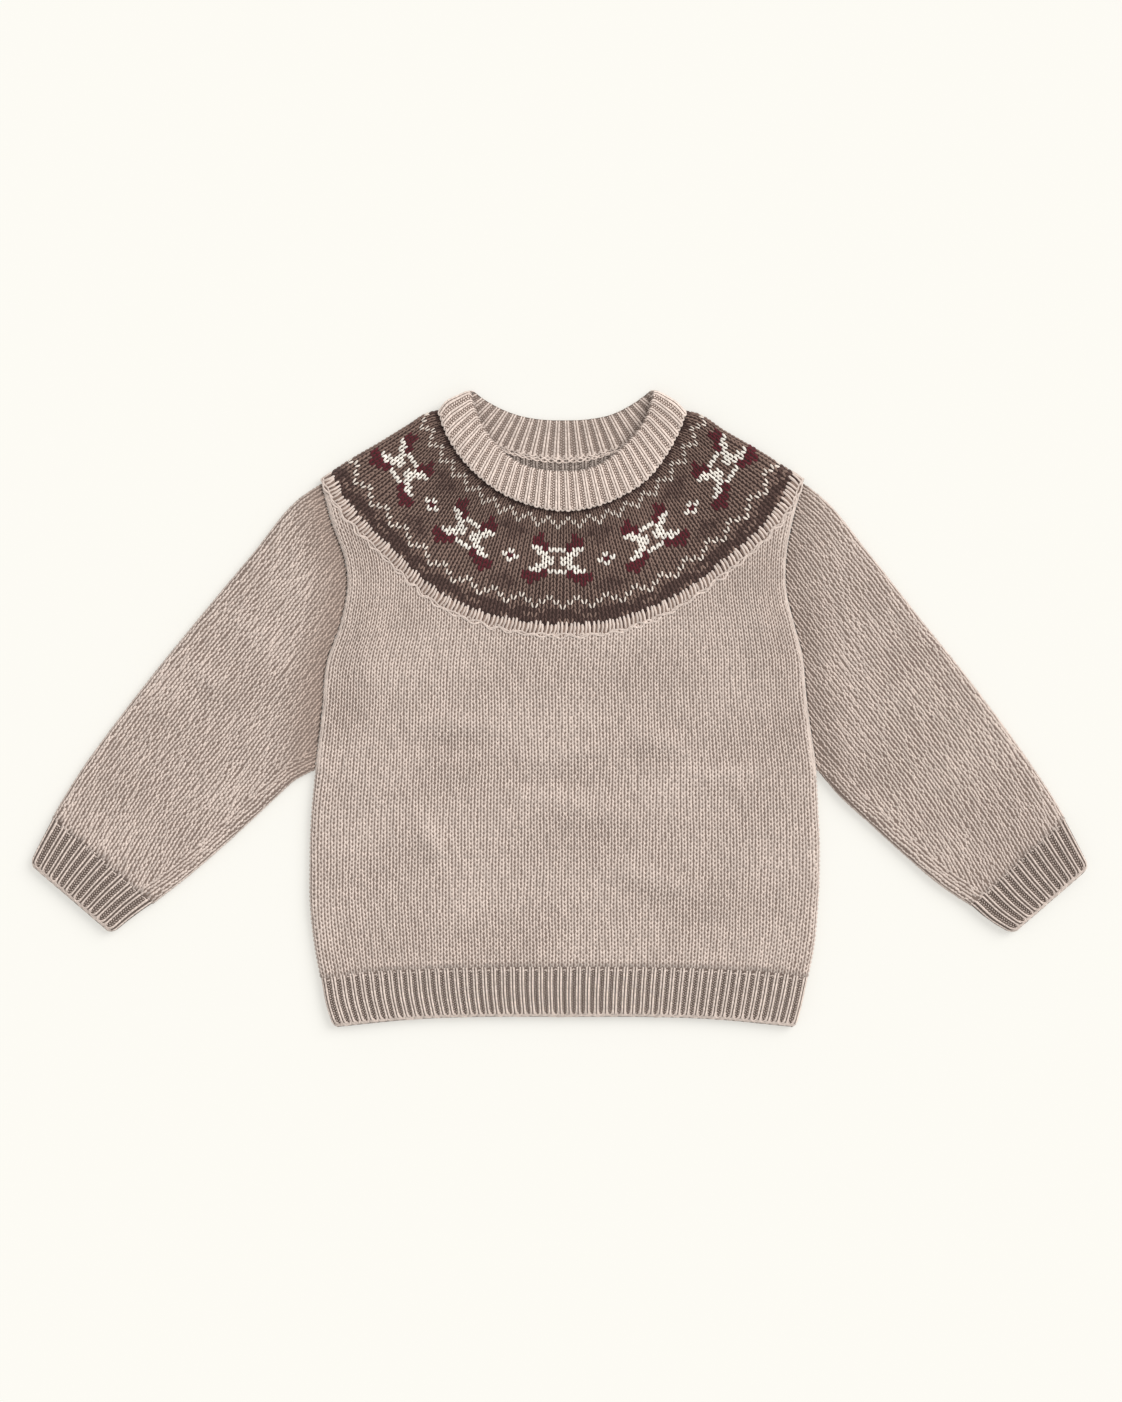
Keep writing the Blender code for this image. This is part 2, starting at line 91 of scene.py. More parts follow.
# Plan lines of each side in millimetres, each from the neck or body outwards
SIDES = {
    "right": {
        "neck_fold": ((-60.1, 214.6), (-68.9, 211.0), (-76.9, 207.0), (-81.6, 200.3)),
        "shoulder": ((-81.6, 200.3), (-88.4, 198.9), (-101.8, 190.8), (-121.3, 178.8), (-142.1, 166.7),
                     (-160.3, 154.6)),
        "armhole": ((-160.2, 151.0), (-153.6, 125.7), (-144.1, 98.1), (-142.8, 88.0), (-146.8, 59.1),
                    (-156.9, 29.6), (-159.6, 0.0), (-164.6, -41.9)),
        "side": ((-164.3, -41.7), (-167.0, -68.5), (-168.3, -108.9), (-168.3, -129.0), (-165.0, -159.3),
                 (-160.6, -183.3)),
        "hem_side": ((-160.6, -183.3), (-157.6, -199.6), (-152.6, -214.7)),
        "sleeve_top": ((-160.2, 151.0), (-172.4, 143.1), (-207.3, 102.8), (-240.9, 62.5), (-273.8, 22.2),
                       (-304.8, -18.1), (-319.5, -38.3), (-332.3, -58.5), (-341.3, -73.9)),
        "sleeve_under": ((-164.6, -41.9), (-177.1, -48.4), (-188.5, -58.5), (-210.0, -78.6),
                         (-232.2, -98.8), (-256.4, -118.9), (-273.2, -131.7)),
        "cuff_top": ((-341.3, -73.9), (-349.1, -88.7), (-356.9, -104.2)),
        "cuff_under": ((-273.2, -131.7), (-283.9, -139.1), (-300.7, -152.5)),
    },
    "left": {
        "neck_fold": ((63.5, 215.0), (72.0, 211.0), (78.8, 207.0), (85.3, 199.9)),
        "shoulder": ((85.3, 199.9), (91.1, 198.9), (111.2, 186.8), (138.8, 170.7), (164.0, 154.6)),
        "armhole": ((164.4, 151.2), (156.9, 126.3), (152.2, 96.8), (152.2, 82.0), (158.6, 53.8),
                    (163.3, 36.3), (166.0, 8.1), (173.1, -41.9)),
        "side": ((172.8, -41.7), (174.2, -68.5), (175.1, -88.7), (174.4, -129.0), (171.7, -159.3),
                 (167.2, -182.8)),
        "hem_side": ((167.2, -182.8), (163.6, -199.6), (159.6, -214.7)),
        "sleeve_top": ((164.4, 151.2), (175.1, 143.1), (209.3, 102.8), (240.9, 62.5), (273.2, 22.2),
                       (303.4, -18.1), (317.5, -38.3), (331.0, -58.5), (340.4, -74.6)),
        "sleeve_under": ((173.1, -41.9), (187.2, -58.5), (209.3, -78.6), (231.5, -98.8), (255.0, -118.9),
                         (276.2, -133.1)),
        "cuff_top": ((340.4, -74.6), (347.8, -88.7), (357.0, -106.8)),
        "cuff_under": ((276.2, -133.1), (288.0, -143.0), (304.1, -152.5)),
    },
}

# Soft folds: middle x and y, length, half width and rise in millimetres, turn in degrees
FOLDS = (
    (-73.6, -9.4, 95.0, 9.0, 2.4, 0.0),
    (-73.6, -24.0, 95.0, 7.0, -1.7, 2.0),
    (-120.0, -50.0, 70.0, 10.0, 2.4, 20.0),
    (10.0, -30.0, 95.0, 8.0, 2.1, 8.0),
    (66.0, -22.0, 65.0, 9.0, 2.1, -18.0),
    (112.0, -45.0, 75.0, 8.0, 2.1, 6.0),
    (0.0, -49.0, 110.0, 8.0, -1.7, 0.0),
    (22.0, -69.0, 100.0, 9.0, 1.7, -9.0),
    (-84.0, -90.0, 62.0, 9.0, 2.1, -65.0),
    (68.0, -116.0, 100.0, 9.0, 2.1, -18.0),
    (-128.0, 46.0, 120.0, 14.0, 2.2, 85.0),
    (138.0, 58.0, 120.0, 12.0, 2.2, -84.0),
    (-236.0, 22.0, 60.0, 9.0, 2.1, -42.0),
    (-205.0, 50.0, 70.0, 10.0, 1.7, -50.0),
    (236.0, 15.0, 70.0, 10.0, 2.1, 44.0),
)

# Levels of the cloths' outer faces, on which the stitches stand, then their gaps, rolls and thickness,
# all in millimetres; the underside's wave is a share of the ribs' rise
FACE = 6.3
MIDDLE = 3.6
UNDER = 0.85
BAND_FACE = 9.3
BAND_MIDDLE = 5.0
BAND_LINING_FACE = 5.6
BAND_INNER_FACE = 2.3
ARMHOLE_DROP = 2.9
ARMHOLE_EDGE = 5.0
ARMHOLE_RISE = 18.0
SEAM_GAP = 0.3
EDGE_IN = 0.7
ROLL = 5.0
RESTING = 0.02
CLOTH = 1.2
RIB_RISE = 0.8
RIB_DROP = 0.4
UNDER_WAVE = -0.2
ROLL_HIGH = 2.8

# Stocking stitches: sizes in millimetres, places and reaches in columns and rows, and shades as tones; the
# seams' shade is painted shade, darker yarn along the seams to the hem and the cuffs
STITCH_WIDE = 4.2
STITCH_HIGH = 2.8
SLEEVE_STITCH_WIDE = 4.4
BODY_COLUMNS = 82
BODY_ROWS = 124
FIRST_ROW = 0.6
UNDERARM_ROW = 48
SHOULDER = 150.0
DROOP_FADE = 130.0
ROLL_STRANDS = (0.02, 0.4, 0.8)
THINNER = 0.13
THIN_MIDDLE = 4.5
THIN_REACH = 3.0
THIN_ROWS = 12
SLEEVE_COLUMNS = 46
SLEEVE_ROWS = (-40, 150)
SLEEVE_SPREAD = (0.12, 0.3)
SLEEVE_LEG = (-0.25, 1.2)
SLEEVE_JITTER = 0.055
SLEEVE_STAGGER = 0.22
SLEEVE_FULLNESS = 0.95
SLEEVE_SHADE = -0.05
SHADED_THINNER = 0.2
SHADED_REACH = 34.0
UNDER_BODY = 1.8
PAST_BORDER = 0.8
FROM_CUFF = 0.2
BODY_WANDER = 0.045
SLEEVE_WANDER = 0.07
BORDER_COLUMNS = 3
BORDER_SAMPLES = 240
BORDER_PAST = 8
LEG_HALF_WIDTH = 0.77
LEG_HEIGHT = 0.85
SEAM_PAINTED_SHADE = -1.1

# Ribbed bands: counts of ribs and rows, and sizes in millimetres. A bump has a half width, a height and
# a shade, a leg a half width and a shade, and a turn its rows and its half width in ribs
RIB_HALF_WIDTH = 0.7
RIB_HEIGHT = 0.75
WELT_ROWS = 12
WELT_TURN = {"low": 0.5, "high": 2.6, "half": 0.31, "depth": 1.3}
WELT_TOPS = 0.35
HEM_RIBS = 52
HEM_REACH = 32.0
HEM_RIB_WIDE = 6.3
HEM_CORNER = 4.0
CUFF_RIBS = 11
CUFF_REACH = 33.0
CUFF_RIB_WIDE = 8.4
CUFF_CORNER = 5.0
BAND_FRONT_RIBS = 32
BAND_BACK_RIBS = 22
BAND_ROWS = 9
BAND_REACH = 25.5
BAND_RIB_WIDE = 7.4
BAND_INNER_RIB_WIDE = 7.0
BAND_CORNER = 3.5
BAND_INSET = 3.5
BAND_SPREAD = (0.14, 0.17)
# The front band's bumps and legs are painted light, and the hidden back band's bumps painted shade
BAND_BUMP_PAINTED_LIGHT = (0.5, 0.6, 1.2)
BAND_LEG_PAINTED_LIGHT = (0.82, 0.8)
BAND_HIDDEN_BUMP_PAINTED_SHADE = (0.45, 0.5, -0.9)
BAND_HIDDEN_LEG = (0.76, 0.1)
# The strip's bumps and legs are dark with painted shade, under the back of the neckband
STRIP_BUMP_PAINTED_SHADE = (0.5, 0.3, -1.6)
STRIP_LEG_PAINTED_SHADE = (0.8, -1.4)
STRIP_RIBS = 18
STRIP_ROWS = 6
STRIP_REACH = 58.0
STRIP_DEPTH = 17.0
STRIP_FACE = 2.5
STRIP_CLOTH = 0.35

# The yoke's stitches round its front or its back, its rows from the neck out, the columns of one repeat,
# and a stitch's width and height in millimetres
YOKE_COLUMNS = 76
YOKE_SHIFT = -0.0184
YOKE_ROWS = 26
YOKE_DARK_SHARE = 0.905
REPEAT = 16
YOKE_STITCH = (4.2, 3.0)
YOKE_HEAD = 0.36
YOKE_WANDER = 0.05

# A leg of a plain yoke stitch, and of a cream or burgundy one: half width and height in millimetres, and
# how far its foot is from the stitch's middle, in columns
PLAIN_LEG = (0.6, 0.8, 0.1)
MOTIF_LEG = (0.8, 1.05, 0.07)

# Yarn and cloth colours, linear, with the armhole's painted shade as shares of the colour taken off on each
# side; the cloths' shade colours are painted shade of the gaps between the stitches
BEIGE = (0.725, 0.617, 0.558)
# Painted shade between the yoke's loops: the colour of a dark sheet under them
LOOP_GAP_PAINTED_SHADE = (0.25, 0.18, 0.15)
ARMHOLE_SHADE = (0.27, 0.32, 0.35)
SIDE_SHADING = {"right": 1.0, "left": 0.25}
PALE = (0.86, 0.77, 0.69)
BEIGE_SHADE = (0.228, 0.172, 0.147)
RIB_SHADE = (0.125, 0.094, 0.08)
BROWN = (0.255, 0.172, 0.142)
DARK_BROWN = (0.105, 0.062, 0.053)
HALF_DARK = (0.175, 0.112, 0.094)
BURGUNDY = (0.112, 0.015, 0.023)
YOKE_SHADE = (0.04, 0.022, 0.019)
CREAM = (0.98, 0.93, 0.86)

# The camera and light, in metres and degrees, but the lens and its sensor in millimetres, the photo's
# height in pixels and a pixel in millimetres
LENS = 85.0
SENSOR = 36.0
PHOTO_HEIGHT = 1402
PIXEL = 0.672
FRAME_HEIGHT = PHOTO_HEIGHT * PIXEL * MM
FRAME_MIDDLE = (0.001, 0.0047)
CAMERA_FOCUS = 0.005
FLOOR_SIZE = 6.0
FLOOR_LEVEL = -0.0002
FLOOR_COLOUR = (0.5, 0.497, 0.477, 1.0)
FLOOR_GLOW = (1.0, 0.985, 0.93, 1.0)
FLOOR_GLOW_STRENGTH = 0.446
WORLD_COLOUR = (1.0, 0.985, 0.955, 1.0)
WORLD_STRENGTH = 0.69
SUN_COLOUR = (1.0, 0.985, 0.96)
SUN_STRENGTH = 1.95
SUN_ANGLE = 42.0
SUN_TURN = (-28.0, 45.0, 0.0)

# Each piece's slot, its flat sizes in metres, its flat area in square metres where its cut isn't a
# rectangle, and the cloth that it rests on
SHEETS = {
    "body_front": ("beige_knit", (0.344, 0.337), 0.085, ["body_back_cloth"]),
    "body_back": ("beige_knit", (0.344, 0.337), 0.091, []),
    "hem_front": ("beige_rib", (0.33, 0.032), None, ["hem_back_cloth"]),
    "hem_back": ("beige_rib", (0.33, 0.032), None, []),
    "yoke": ("yoke_knit", (0.8, 0.09), 0.054, []),
    "neckband": ("beige_rib", (0.43, 0.0255), 0.0101, []),
    "sleeve": ("beige_knit", (0.255, 0.29), 0.051, []),
    "cuff": ("beige_rib", (0.18, 0.033), None, []),
}

SEED = 11
rng = np.random.default_rng(SEED)


def line_through(points, count=240):
    """A smooth line through the points, its samples spread evenly along it."""
    points = np.array(points, dtype=float)
    steps = np.linalg.norm(np.diff(points, axis=0), axis=1)
    stations = np.concatenate([[0.0], np.cumsum(steps)])
    slopes = np.gradient(points, stations, axis=0)
    samples = np.linspace(0.0, stations[-1], count)
    piece = np.clip(np.searchsorted(stations, samples, side="right") - 1, 0, len(steps) - 1)
    t = ((samples - stations[piece]) / steps[piece])[:, None]
    reach = steps[piece][:, None]
    return (
        (2 * t**3 - 3 * t**2 + 1) * points[piece]
        + (t**3 - 2 * t**2 + t) * reach * slopes[piece]
        + (3 * t**2 - 2 * t**3) * points[piece + 1]
        + (t**3 - t**2) * reach * slopes[piece + 1]
    )


def length_of(line):
    return np.linalg.norm(np.diff(line, axis=0), axis=1).sum()


def stations_of(line):
    return np.concatenate([[0.0], np.cumsum(np.linalg.norm(np.diff(line, axis=0), axis=1))])


def along(line, share):
    """The points at shares of a line's length."""
    stations = stations_of(line)
    return np.stack([np.interp(share, stations / stations[-1], line[:, axis]) for axis in (0, 1)], axis=-1)


def directions(line):
    """Unit vectors along a line, at its samples."""
    slopes = np.gradient(line, axis=0)
    return slopes / np.linalg.norm(slopes, axis=1)[:, None]


def beside(line, distance):
    """The line moved sideways, to the right of its direction."""
    slopes = directions(line)
    return line + distance * np.stack([slopes[:, 1], -slopes[:, 0]], axis=1)


def patch(near, far, first, last, fade=1):
    """A plan surface between four lines: near and far run across, first and last run along.

    The bends of the first and last lines fade inwards, faster with a higher fade.
    """
    def bend(line, out):
        out = np.clip(out, 0, 1)
        v = out[..., None]
        return along(line, out) - (1 - v) * line[0] - v * line[-1]

    def plan(across, out):
        across, out = np.broadcast_arrays(np.asarray(across, float), np.asarray(out, float))
        u, v = across[..., None], out[..., None]
        ruled = (1 - v) * along(near, across) + v * along(far, across)
        return ruled + (1 - u) ** fade * bend(first, out) + u**fade * bend(last, out)

    return plan


def rolled(distance, roll):
    """How far round its rolled edge the cloth has come, from 0 at the edge to 1 on the flat."""
    return np.sqrt(np.clip(1 - (1 - np.clip(distance / roll, 0, 1)) ** 2, 0, 1))


def smooth(low, high, value):
    share = np.clip((value - low) / (high - low), 0, 1)
    return share * share * (3 - 2 * share)


def folds_at(places):
    """The rise of the soft folds over places in plan."""
    rise = np.zeros(places.shape[:-1])
    for x, y, length, width, height, turn in FOLDS:
        direction = np.array([math.cos(math.radians(turn)), math.sin(math.radians(turn))])
        offset = places - np.array([x, y])
        run = np.clip(offset @ direction / (length / 2), -1, 1)
        aside = (offset[..., 1] * direction[0] - offset[..., 0] * direction[1]) / width
        rise += height * np.cos(run * math.pi / 2) ** 2 * np.exp(-(aside**2))
    return rise


def quarter_arc(wide, high):
    return math.pi / 2 * math.sqrt((wide**2 + high**2) / 2)


def turned(arc, width, quarter, roll=ROLL):
    """Distance across a layer with two rolled edges, and how far round its roll, at an arc length."""
    total = width + 2 * (quarter - roll)
    nearer = np.minimum(arc, total - arc)
    angle = np.minimum(nearer / quarter, 1) * math.pi / 2
    distance = np.where(nearer < quarter, roll * (1 - np.cos(angle)), nearer - quarter + roll)
    return np.where(arc > total / 2, width - distance, distance), np.sin(angle)


def with_level(places, z):
    return np.concatenate([places, np.asarray(z)[..., None]], axis=-1)


def folded(plan, level, middle, roll=ROLL, inset=EDGE_IN, corners=None):
    """A layer between two folds, as points at a share of its arc across and a share along.

    Its corners are a share along, the layer's length along and the corners' radius.
    """
    shares = np.linspace(0, 1, 21)
    widths = np.array([length_of(plan(np.linspace(0, 1, 61), share)) for share in shares])
    quarter = quarter_arc(roll, ROLL_HIGH)

    def place(across, out):
        width = np.interp(out, shares, widths)
        edge = inset
        if corners is not None:
            end, reach, radius = corners
            edge = inset + radius * (1 - rolled(np.abs(out - end) * reach, radius))
        flat = width - 2 * edge
        total = flat + 2 * (quarter - roll)
        distance, turn = turned(across * total, flat, quarter, roll)
        places = plan((edge + distance) / width, out)
        return with_level(places, middle + (level(places, across, out) - middle) * turn)

    return place


def raised(place, facing):
    """Points over a cloth at heights along its outward normal."""
    def lift(column, row, height):
        step = 0.02
        run = place(column + step, row) - place(column - step, row)
        rise = place(column, row + step) - place(column, row - step)
        normal = np.cross(run, rise) * facing
        normal /= np.linalg.norm(normal, axis=-1, keepdims=True) + 1e-12
        spots = place(column, row) + normal * np.asarray(height)[..., None]
        spots[..., 2] = np.maximum(spots[..., 2], RESTING)
        return spots

    return lift


# Stations of a leaf of yarn: share from foot to head, share of its half width, share of its height
LEAF = ((0.0, 0.0, -0.35), (0.2, 0.78, 0.5), (0.5, 1.0, 1.0), (0.8, 0.82, 0.68), (1.0, 0.0, -0.3))
SHORT_LEAF = ((0.0, 0.0, -0.35), (0.32, 1.0, 0.9), (0.7, 0.9, 0.9), (1.0, 0.0, -0.3))
LOOP_LEAF = ((0.0, 0.0, -0.3), (0.08, 0.8, 0.8), (0.5, 1.0, 1.0), (0.88, 0.9, 0.85), (1.0, 0.0, -0.3))
BACKING_LEAF = ((0.0, 0.0, -0.3), (0.06, 1.0, 1.0), (0.78, 0.9, 1.0), (1.0, 0.0, -0.3))
SUNK = -0.05


def shares_of(leaf):
    """The shares from foot to head at which a leaf has its points."""
    return np.array([station[0] for station in leaf])


def leaf_faces(stations):
    """Faces of one leaf: a tip, rows of a left, a ridge and a right point, and a tip."""
    rows = [(1 + 3 * k, 2 + 3 * k, 3 + 3 * k) for k in range(stations - 2)]
    tip = 3 * stations - 5
    faces = [(0, rows[0][1], rows[0][0]), (0, rows[0][2], rows[0][1])]
    for near, far in zip(rows, rows[1:]):
        faces.append((near[0], near[1], far[1], far[0]))
        faces.append((near[1], near[2], far[2], far[1]))
    faces.append((rows[-1][0], rows[-1][1], tip))
    faces.append((rows[-1][1], rows[-1][2], tip))
    return faces


class Yarn:
    """Leaves of yarn on cloths, collected into one mesh."""

    def __init__(self):
        self.batches = []

    def add(self, lift, facing, paths, stitch, width, height, leaf=LEAF, tint=None, edge=SUNK, shade=0.0):
        """Leaves along paths in columns and rows, shaped (leaf, station, 2); a stitch is wide and high."""
        count = len(paths)
        shares, widths, heights = (np.array(values) for values in zip(*leaf))
        stitch = np.array(stitch, float)
        slopes = np.gradient(paths * stitch, axis=1)
        slopes /= np.linalg.norm(slopes, axis=2, keepdims=True) + 1e-12
        side = np.stack([slopes[..., 1], -slopes[..., 0]], axis=-1) / stitch
        half = np.broadcast_to(np.asarray(width, float), (count,))[:, None] * widths
        tall = np.broadcast_to(np.asarray(height, float), (count,))[:, None]
        points, marks = [], []
        last = len(leaf) - 1
        for k in range(len(leaf)):
            for aside in ((0,) if k in (0, last) else (-1, 0, 1)):
                spot = paths[:, k] + side[:, k] * (aside * half[:, k])[:, None]
                rise = np.where(aside == 0, heights[k] * tall[:, 0], edge)
                points.append(lift(spot[:, 0], spot[:, 1], rise))
                marks.append((aside, shares[k]))
        # A random tone for each leaf, moved by its shade, which in places is painted shade or painted light
        tones = rng.random(count) + shade
        if tint is None:
            tint = np.tile(BEIGE, (count, 1))
        self.batches.append((np.stack(points, axis=1), np.array(marks), tones, tint, facing, len(leaf)))

    def piece(self, name, material):
        """The collected leaves as an object, with a cell of the bake map for each leaf."""
        points, loops, sizes, sides, tints, cells = [], [], [], [], [], []
        start = 0
        leaves = sum(len(batch[0]) for batch in self.batches)
        grid = math.ceil(math.sqrt(leaves))
        first = 0
        for spots, marks, tones, tint, facing, stations in self.batches:
            count, each = spots.shape[:2]
            faces = leaf_faces(stations)
            if facing < 0:
                faces = [face[::-1] for face in faces]
            template = np.array([corner for face in faces for corner in face])
            offsets = start + each * np.arange(count)[:, None]
            loops.append((offsets + template).ravel())
            sizes.append(np.tile([len(face) for face in faces], count))
            points.append(spots.reshape(-1, 3))
            mark = np.broadcast_to(marks, (count, each, 2))
            tone = np.broadcast_to(tones[:, None, None], (count, each, 1))
            sides.append(np.concatenate([mark, tone], axis=2))
            tints.append(np.broadcast_to(tint[:, None, :], (count, each, 3)))
            number = first + np.arange(count)
            corner = np.stack([number % grid, number // grid], axis=1)[:, None, :]
            local = np.stack([0.5 + 0.42 * marks[:, 0], 0.08 + 0.84 * marks[:, 1]], axis=1)[template]
            cells.append(((corner + local[None]) / grid).reshape(-1, 2))
            start += count * each
            first += count
        mesh = bpy.data.meshes.new(name)
        fill_mesh(mesh, np.concatenate(points) * MM, np.concatenate(loops), np.concatenate(sizes))
        vectors = np.concatenate([side.reshape(-1, 3) for side in sides])
        set_attribute(mesh, "yarn", "FLOAT_VECTOR", "vector", vectors)
        colours = np.concatenate([tint.reshape(-1, 3) for tint in tints])
        colours = np.column_stack([colours, np.ones(len(colours))])
        set_attribute(mesh, "tint", "FLOAT_COLOR", "color", colours)
        layer = mesh.uv_layers.new(name="OFBake")
        layer.data.foreach_set("uv", np.concatenate(cells).astype(np.float32).ravel())
        return make_object(name, mesh, material)


def fill_mesh(mesh, points, loops, sizes):
    mesh.vertices.add(len(points))
    mesh.vertices.foreach_set("co", points.astype(np.float32).ravel())
    mesh.loops.add(len(loops))
    mesh.loops.foreach_set("vertex_index", loops.astype(np.int32))
    mesh.polygons.add(len(sizes))
    starts = np.concatenate([[0], np.cumsum(sizes)[:-1]])
    mesh.polygons.foreach_set("loop_start", starts.astype(np.int32))
    mesh.update(calc_edges=True)
    mesh.validate()


def set_attribute(mesh, name, kind, field, values):
    mesh.attributes.new(name, kind, "POINT").data.foreach_set(field, values.astype(np.float32).ravel())


def make_object(name, mesh, material):
    mesh.shade_smooth()
    mesh.materials.append(material)
    piece = bpy.data.objects.new(name, mesh)
    bpy.context.scene.collection.objects.link(piece)
    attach(piece, "root")
    return piece


def cloth(name, outer, inner, closed, material):
    """A thin closed cloth between an outer and an inner grid of the same size."""
    outer, inner = np.array(outer), np.array(inner)
    rows, columns = outer.shape[:2]
    number = np.arange(rows * columns).reshape(rows, columns)
    if closed:
        number = np.concatenate([number, number[:, :1]], axis=1)
    shift = rows * columns

    def quads(a, b, c, d):
        return np.stack([a.ravel(), b.ravel(), c.ravel(), d.ravel()], axis=1)

    faces = [quads(number[:-1, :-1], number[:-1, 1:], number[1:, 1:], number[1:, :-1])]
    faces.append(faces[0][:, ::-1] + shift)
    faces.append(quads(number[0, 1:], number[0, :-1], number[0, :-1] + shift, number[0, 1:] + shift))
    faces.append(quads(number[-1, :-1], number[-1, 1:], number[-1, 1:] + shift, number[-1, :-1] + shift))
    if not closed:
        faces.append(quads(number[:-1, 0], number[1:, 0], number[1:, 0] + shift, number[:-1, 0] + shift))
        faces.append(quads(number[1:, -1], number[:-1, -1], number[:-1, -1] + shift, number[1:, -1] + shift))
    faces = np.concatenate(faces)
    mesh = bpy.data.meshes.new(name)
    points = np.concatenate([outer.reshape(-1, 3), inner.reshape(-1, 3)]) * MM
    fill_mesh(mesh, points, faces.ravel(), np.full(len(faces), 4))
    shape = bmesh.new()
    shape.from_mesh(mesh)
    bmesh.ops.recalc_face_normals(shape, faces=shape.faces)
    shape.to_mesh(mesh)
    shape.free()
    return make_object(name, mesh, material)


def layer(name, lift, column, row, wall, facing, material):
    """A single layer of thin closed cloth, its grid turned round where it faces down."""
    grids = [lift(column, row, np.full(column.shape, depth)) for depth in (0.0, -wall)]
    if facing < 0:
        grids = [grid[:, ::-1] for grid in grids]
    return cloth(name, grids[0], grids[1], False, material)


def tube_grids(over, under, across, out, wall, facing):
    """Outer and inner grids of a flattened tube, each row over the top and back along the underside."""
    column, row = np.meshgrid(across, out)
    grids = []
    for depth in (0.0, -wall):
        top = raised(over, -facing)(column, row, np.full(column.shape, depth))
        back = raised(under, facing)(column, row, np.full(column.shape, depth))
        grids.append(np.concatenate([top, back[:, -2:0:-1]], axis=1))
    return grids


def dense_edges(count, edge=0.03):
    """Shares across a layer, closer together round its rolled edges."""
    turn = np.linspace(0, edge, 7)[:-1]
    return np.concatenate([turn, np.linspace(edge, 1 - edge, count), 1 - turn[::-1]])


def smooth_lines(side):
    return {key: line_through(rows) for key, rows in SIDES[side].items()}


def wander(columns, rows, reach):
    """How far stitches stray sideways and along, mostly in slow waves, in columns and rows."""
    phase = rng.uniform(0, 2 * math.pi, 6)
    drift = np.sin(rows / 9.0 + columns * 0.31 + phase[0]) + np.sin(rows / 4.3 - columns * 0.57 + phase[1])
    quick = 0.6 * np.sin(rows / 1.9 + columns * 1.9 + phase[5])
    drift += np.sin(rows / 17.0 + columns * 0.23 + phase[2]) + quick
    lift = np.sin(columns / 5.1 + rows * 0.31 + phase[3]) + np.sin(columns / 11.0 - rows * 0.12 + phase[4])
    return reach * drift, reach * lift


def fullness(columns, rows):
    """How full the yarn lies, which varies slowly over the knitting."""
    phase = rng.uniform(0, 2 * math.pi, 3)
    swell = np.sin(rows / 6.3 + columns / 8.7 + phase[0]) + np.sin(columns / 4.1 - rows / 12.0 + phase[1])
    return 1 + 0.045 * (swell + np.sin(rows / 3.1 - columns / 17.0 + phase[2]))


def stocking_paths(columns, rows, spread=(0.0, 0.335), reach=(-0.2, 1.1), leaf=LEAF, jitter=0.028,
                   stagger=0.0):
    """Paths of both legs of stitches, whose columns are their middles and rows their feet.

    Spread is how far a leg lies from the middle at its ends and halfway, reach where it starts and ends
    along the column, and stagger how far each leg is moved along it, one up and one down.
    """
    paths = []
    shares = shares_of(leaf)
    bow = np.sin(shares * math.pi)
    for side in (-1, 1):
        shake = rng.normal(0, jitter, (len(columns), 2))
        column = columns[:, None] + side * (spread[0] + (spread[1] - spread[0]) * bow) + shake[:, :1]
        row = rows[:, None] + side * stagger + reach[0] + (reach[1] - reach[0]) * shares + shake[:, 1:]
        paths.append(np.stack([column, row], axis=-1))
    return np.concatenate(paths)


def vee_paths(columns, rows, foot, head, reach, leaf, jitter=0.02):
    """Paths of both legs of stitches that spread in a V from foot to head, bowed outwards a little."""
    paths = []
    shares = shares_of(leaf)
    open_share = np.sin(shares * math.pi / 2)
    for side in (-1, 1):
        shake = rng.normal(0, jitter, (len(columns), 2))
        spread = foot[:, None] + (head - foot)[:, None] * open_share
        column = columns[:, None] + side * spread + shake[:, :1]
        row = rows[:, None] + reach[0] + (reach[1] - reach[0]) * shares + shake[:, 1:]
        paths.append(np.stack([column, row], axis=-1))
    return np.concatenate(paths)


def body_outline():
    """The x of the body's right and left edge at any y, from the hem to the shoulder."""
    edges = []
    for side in ("right", "left"):
        lines = smooth_lines(side)
        edges.append(np.concatenate([lines["side"][::-1], lines["armhole"][::-1][4:]]))
    return edges


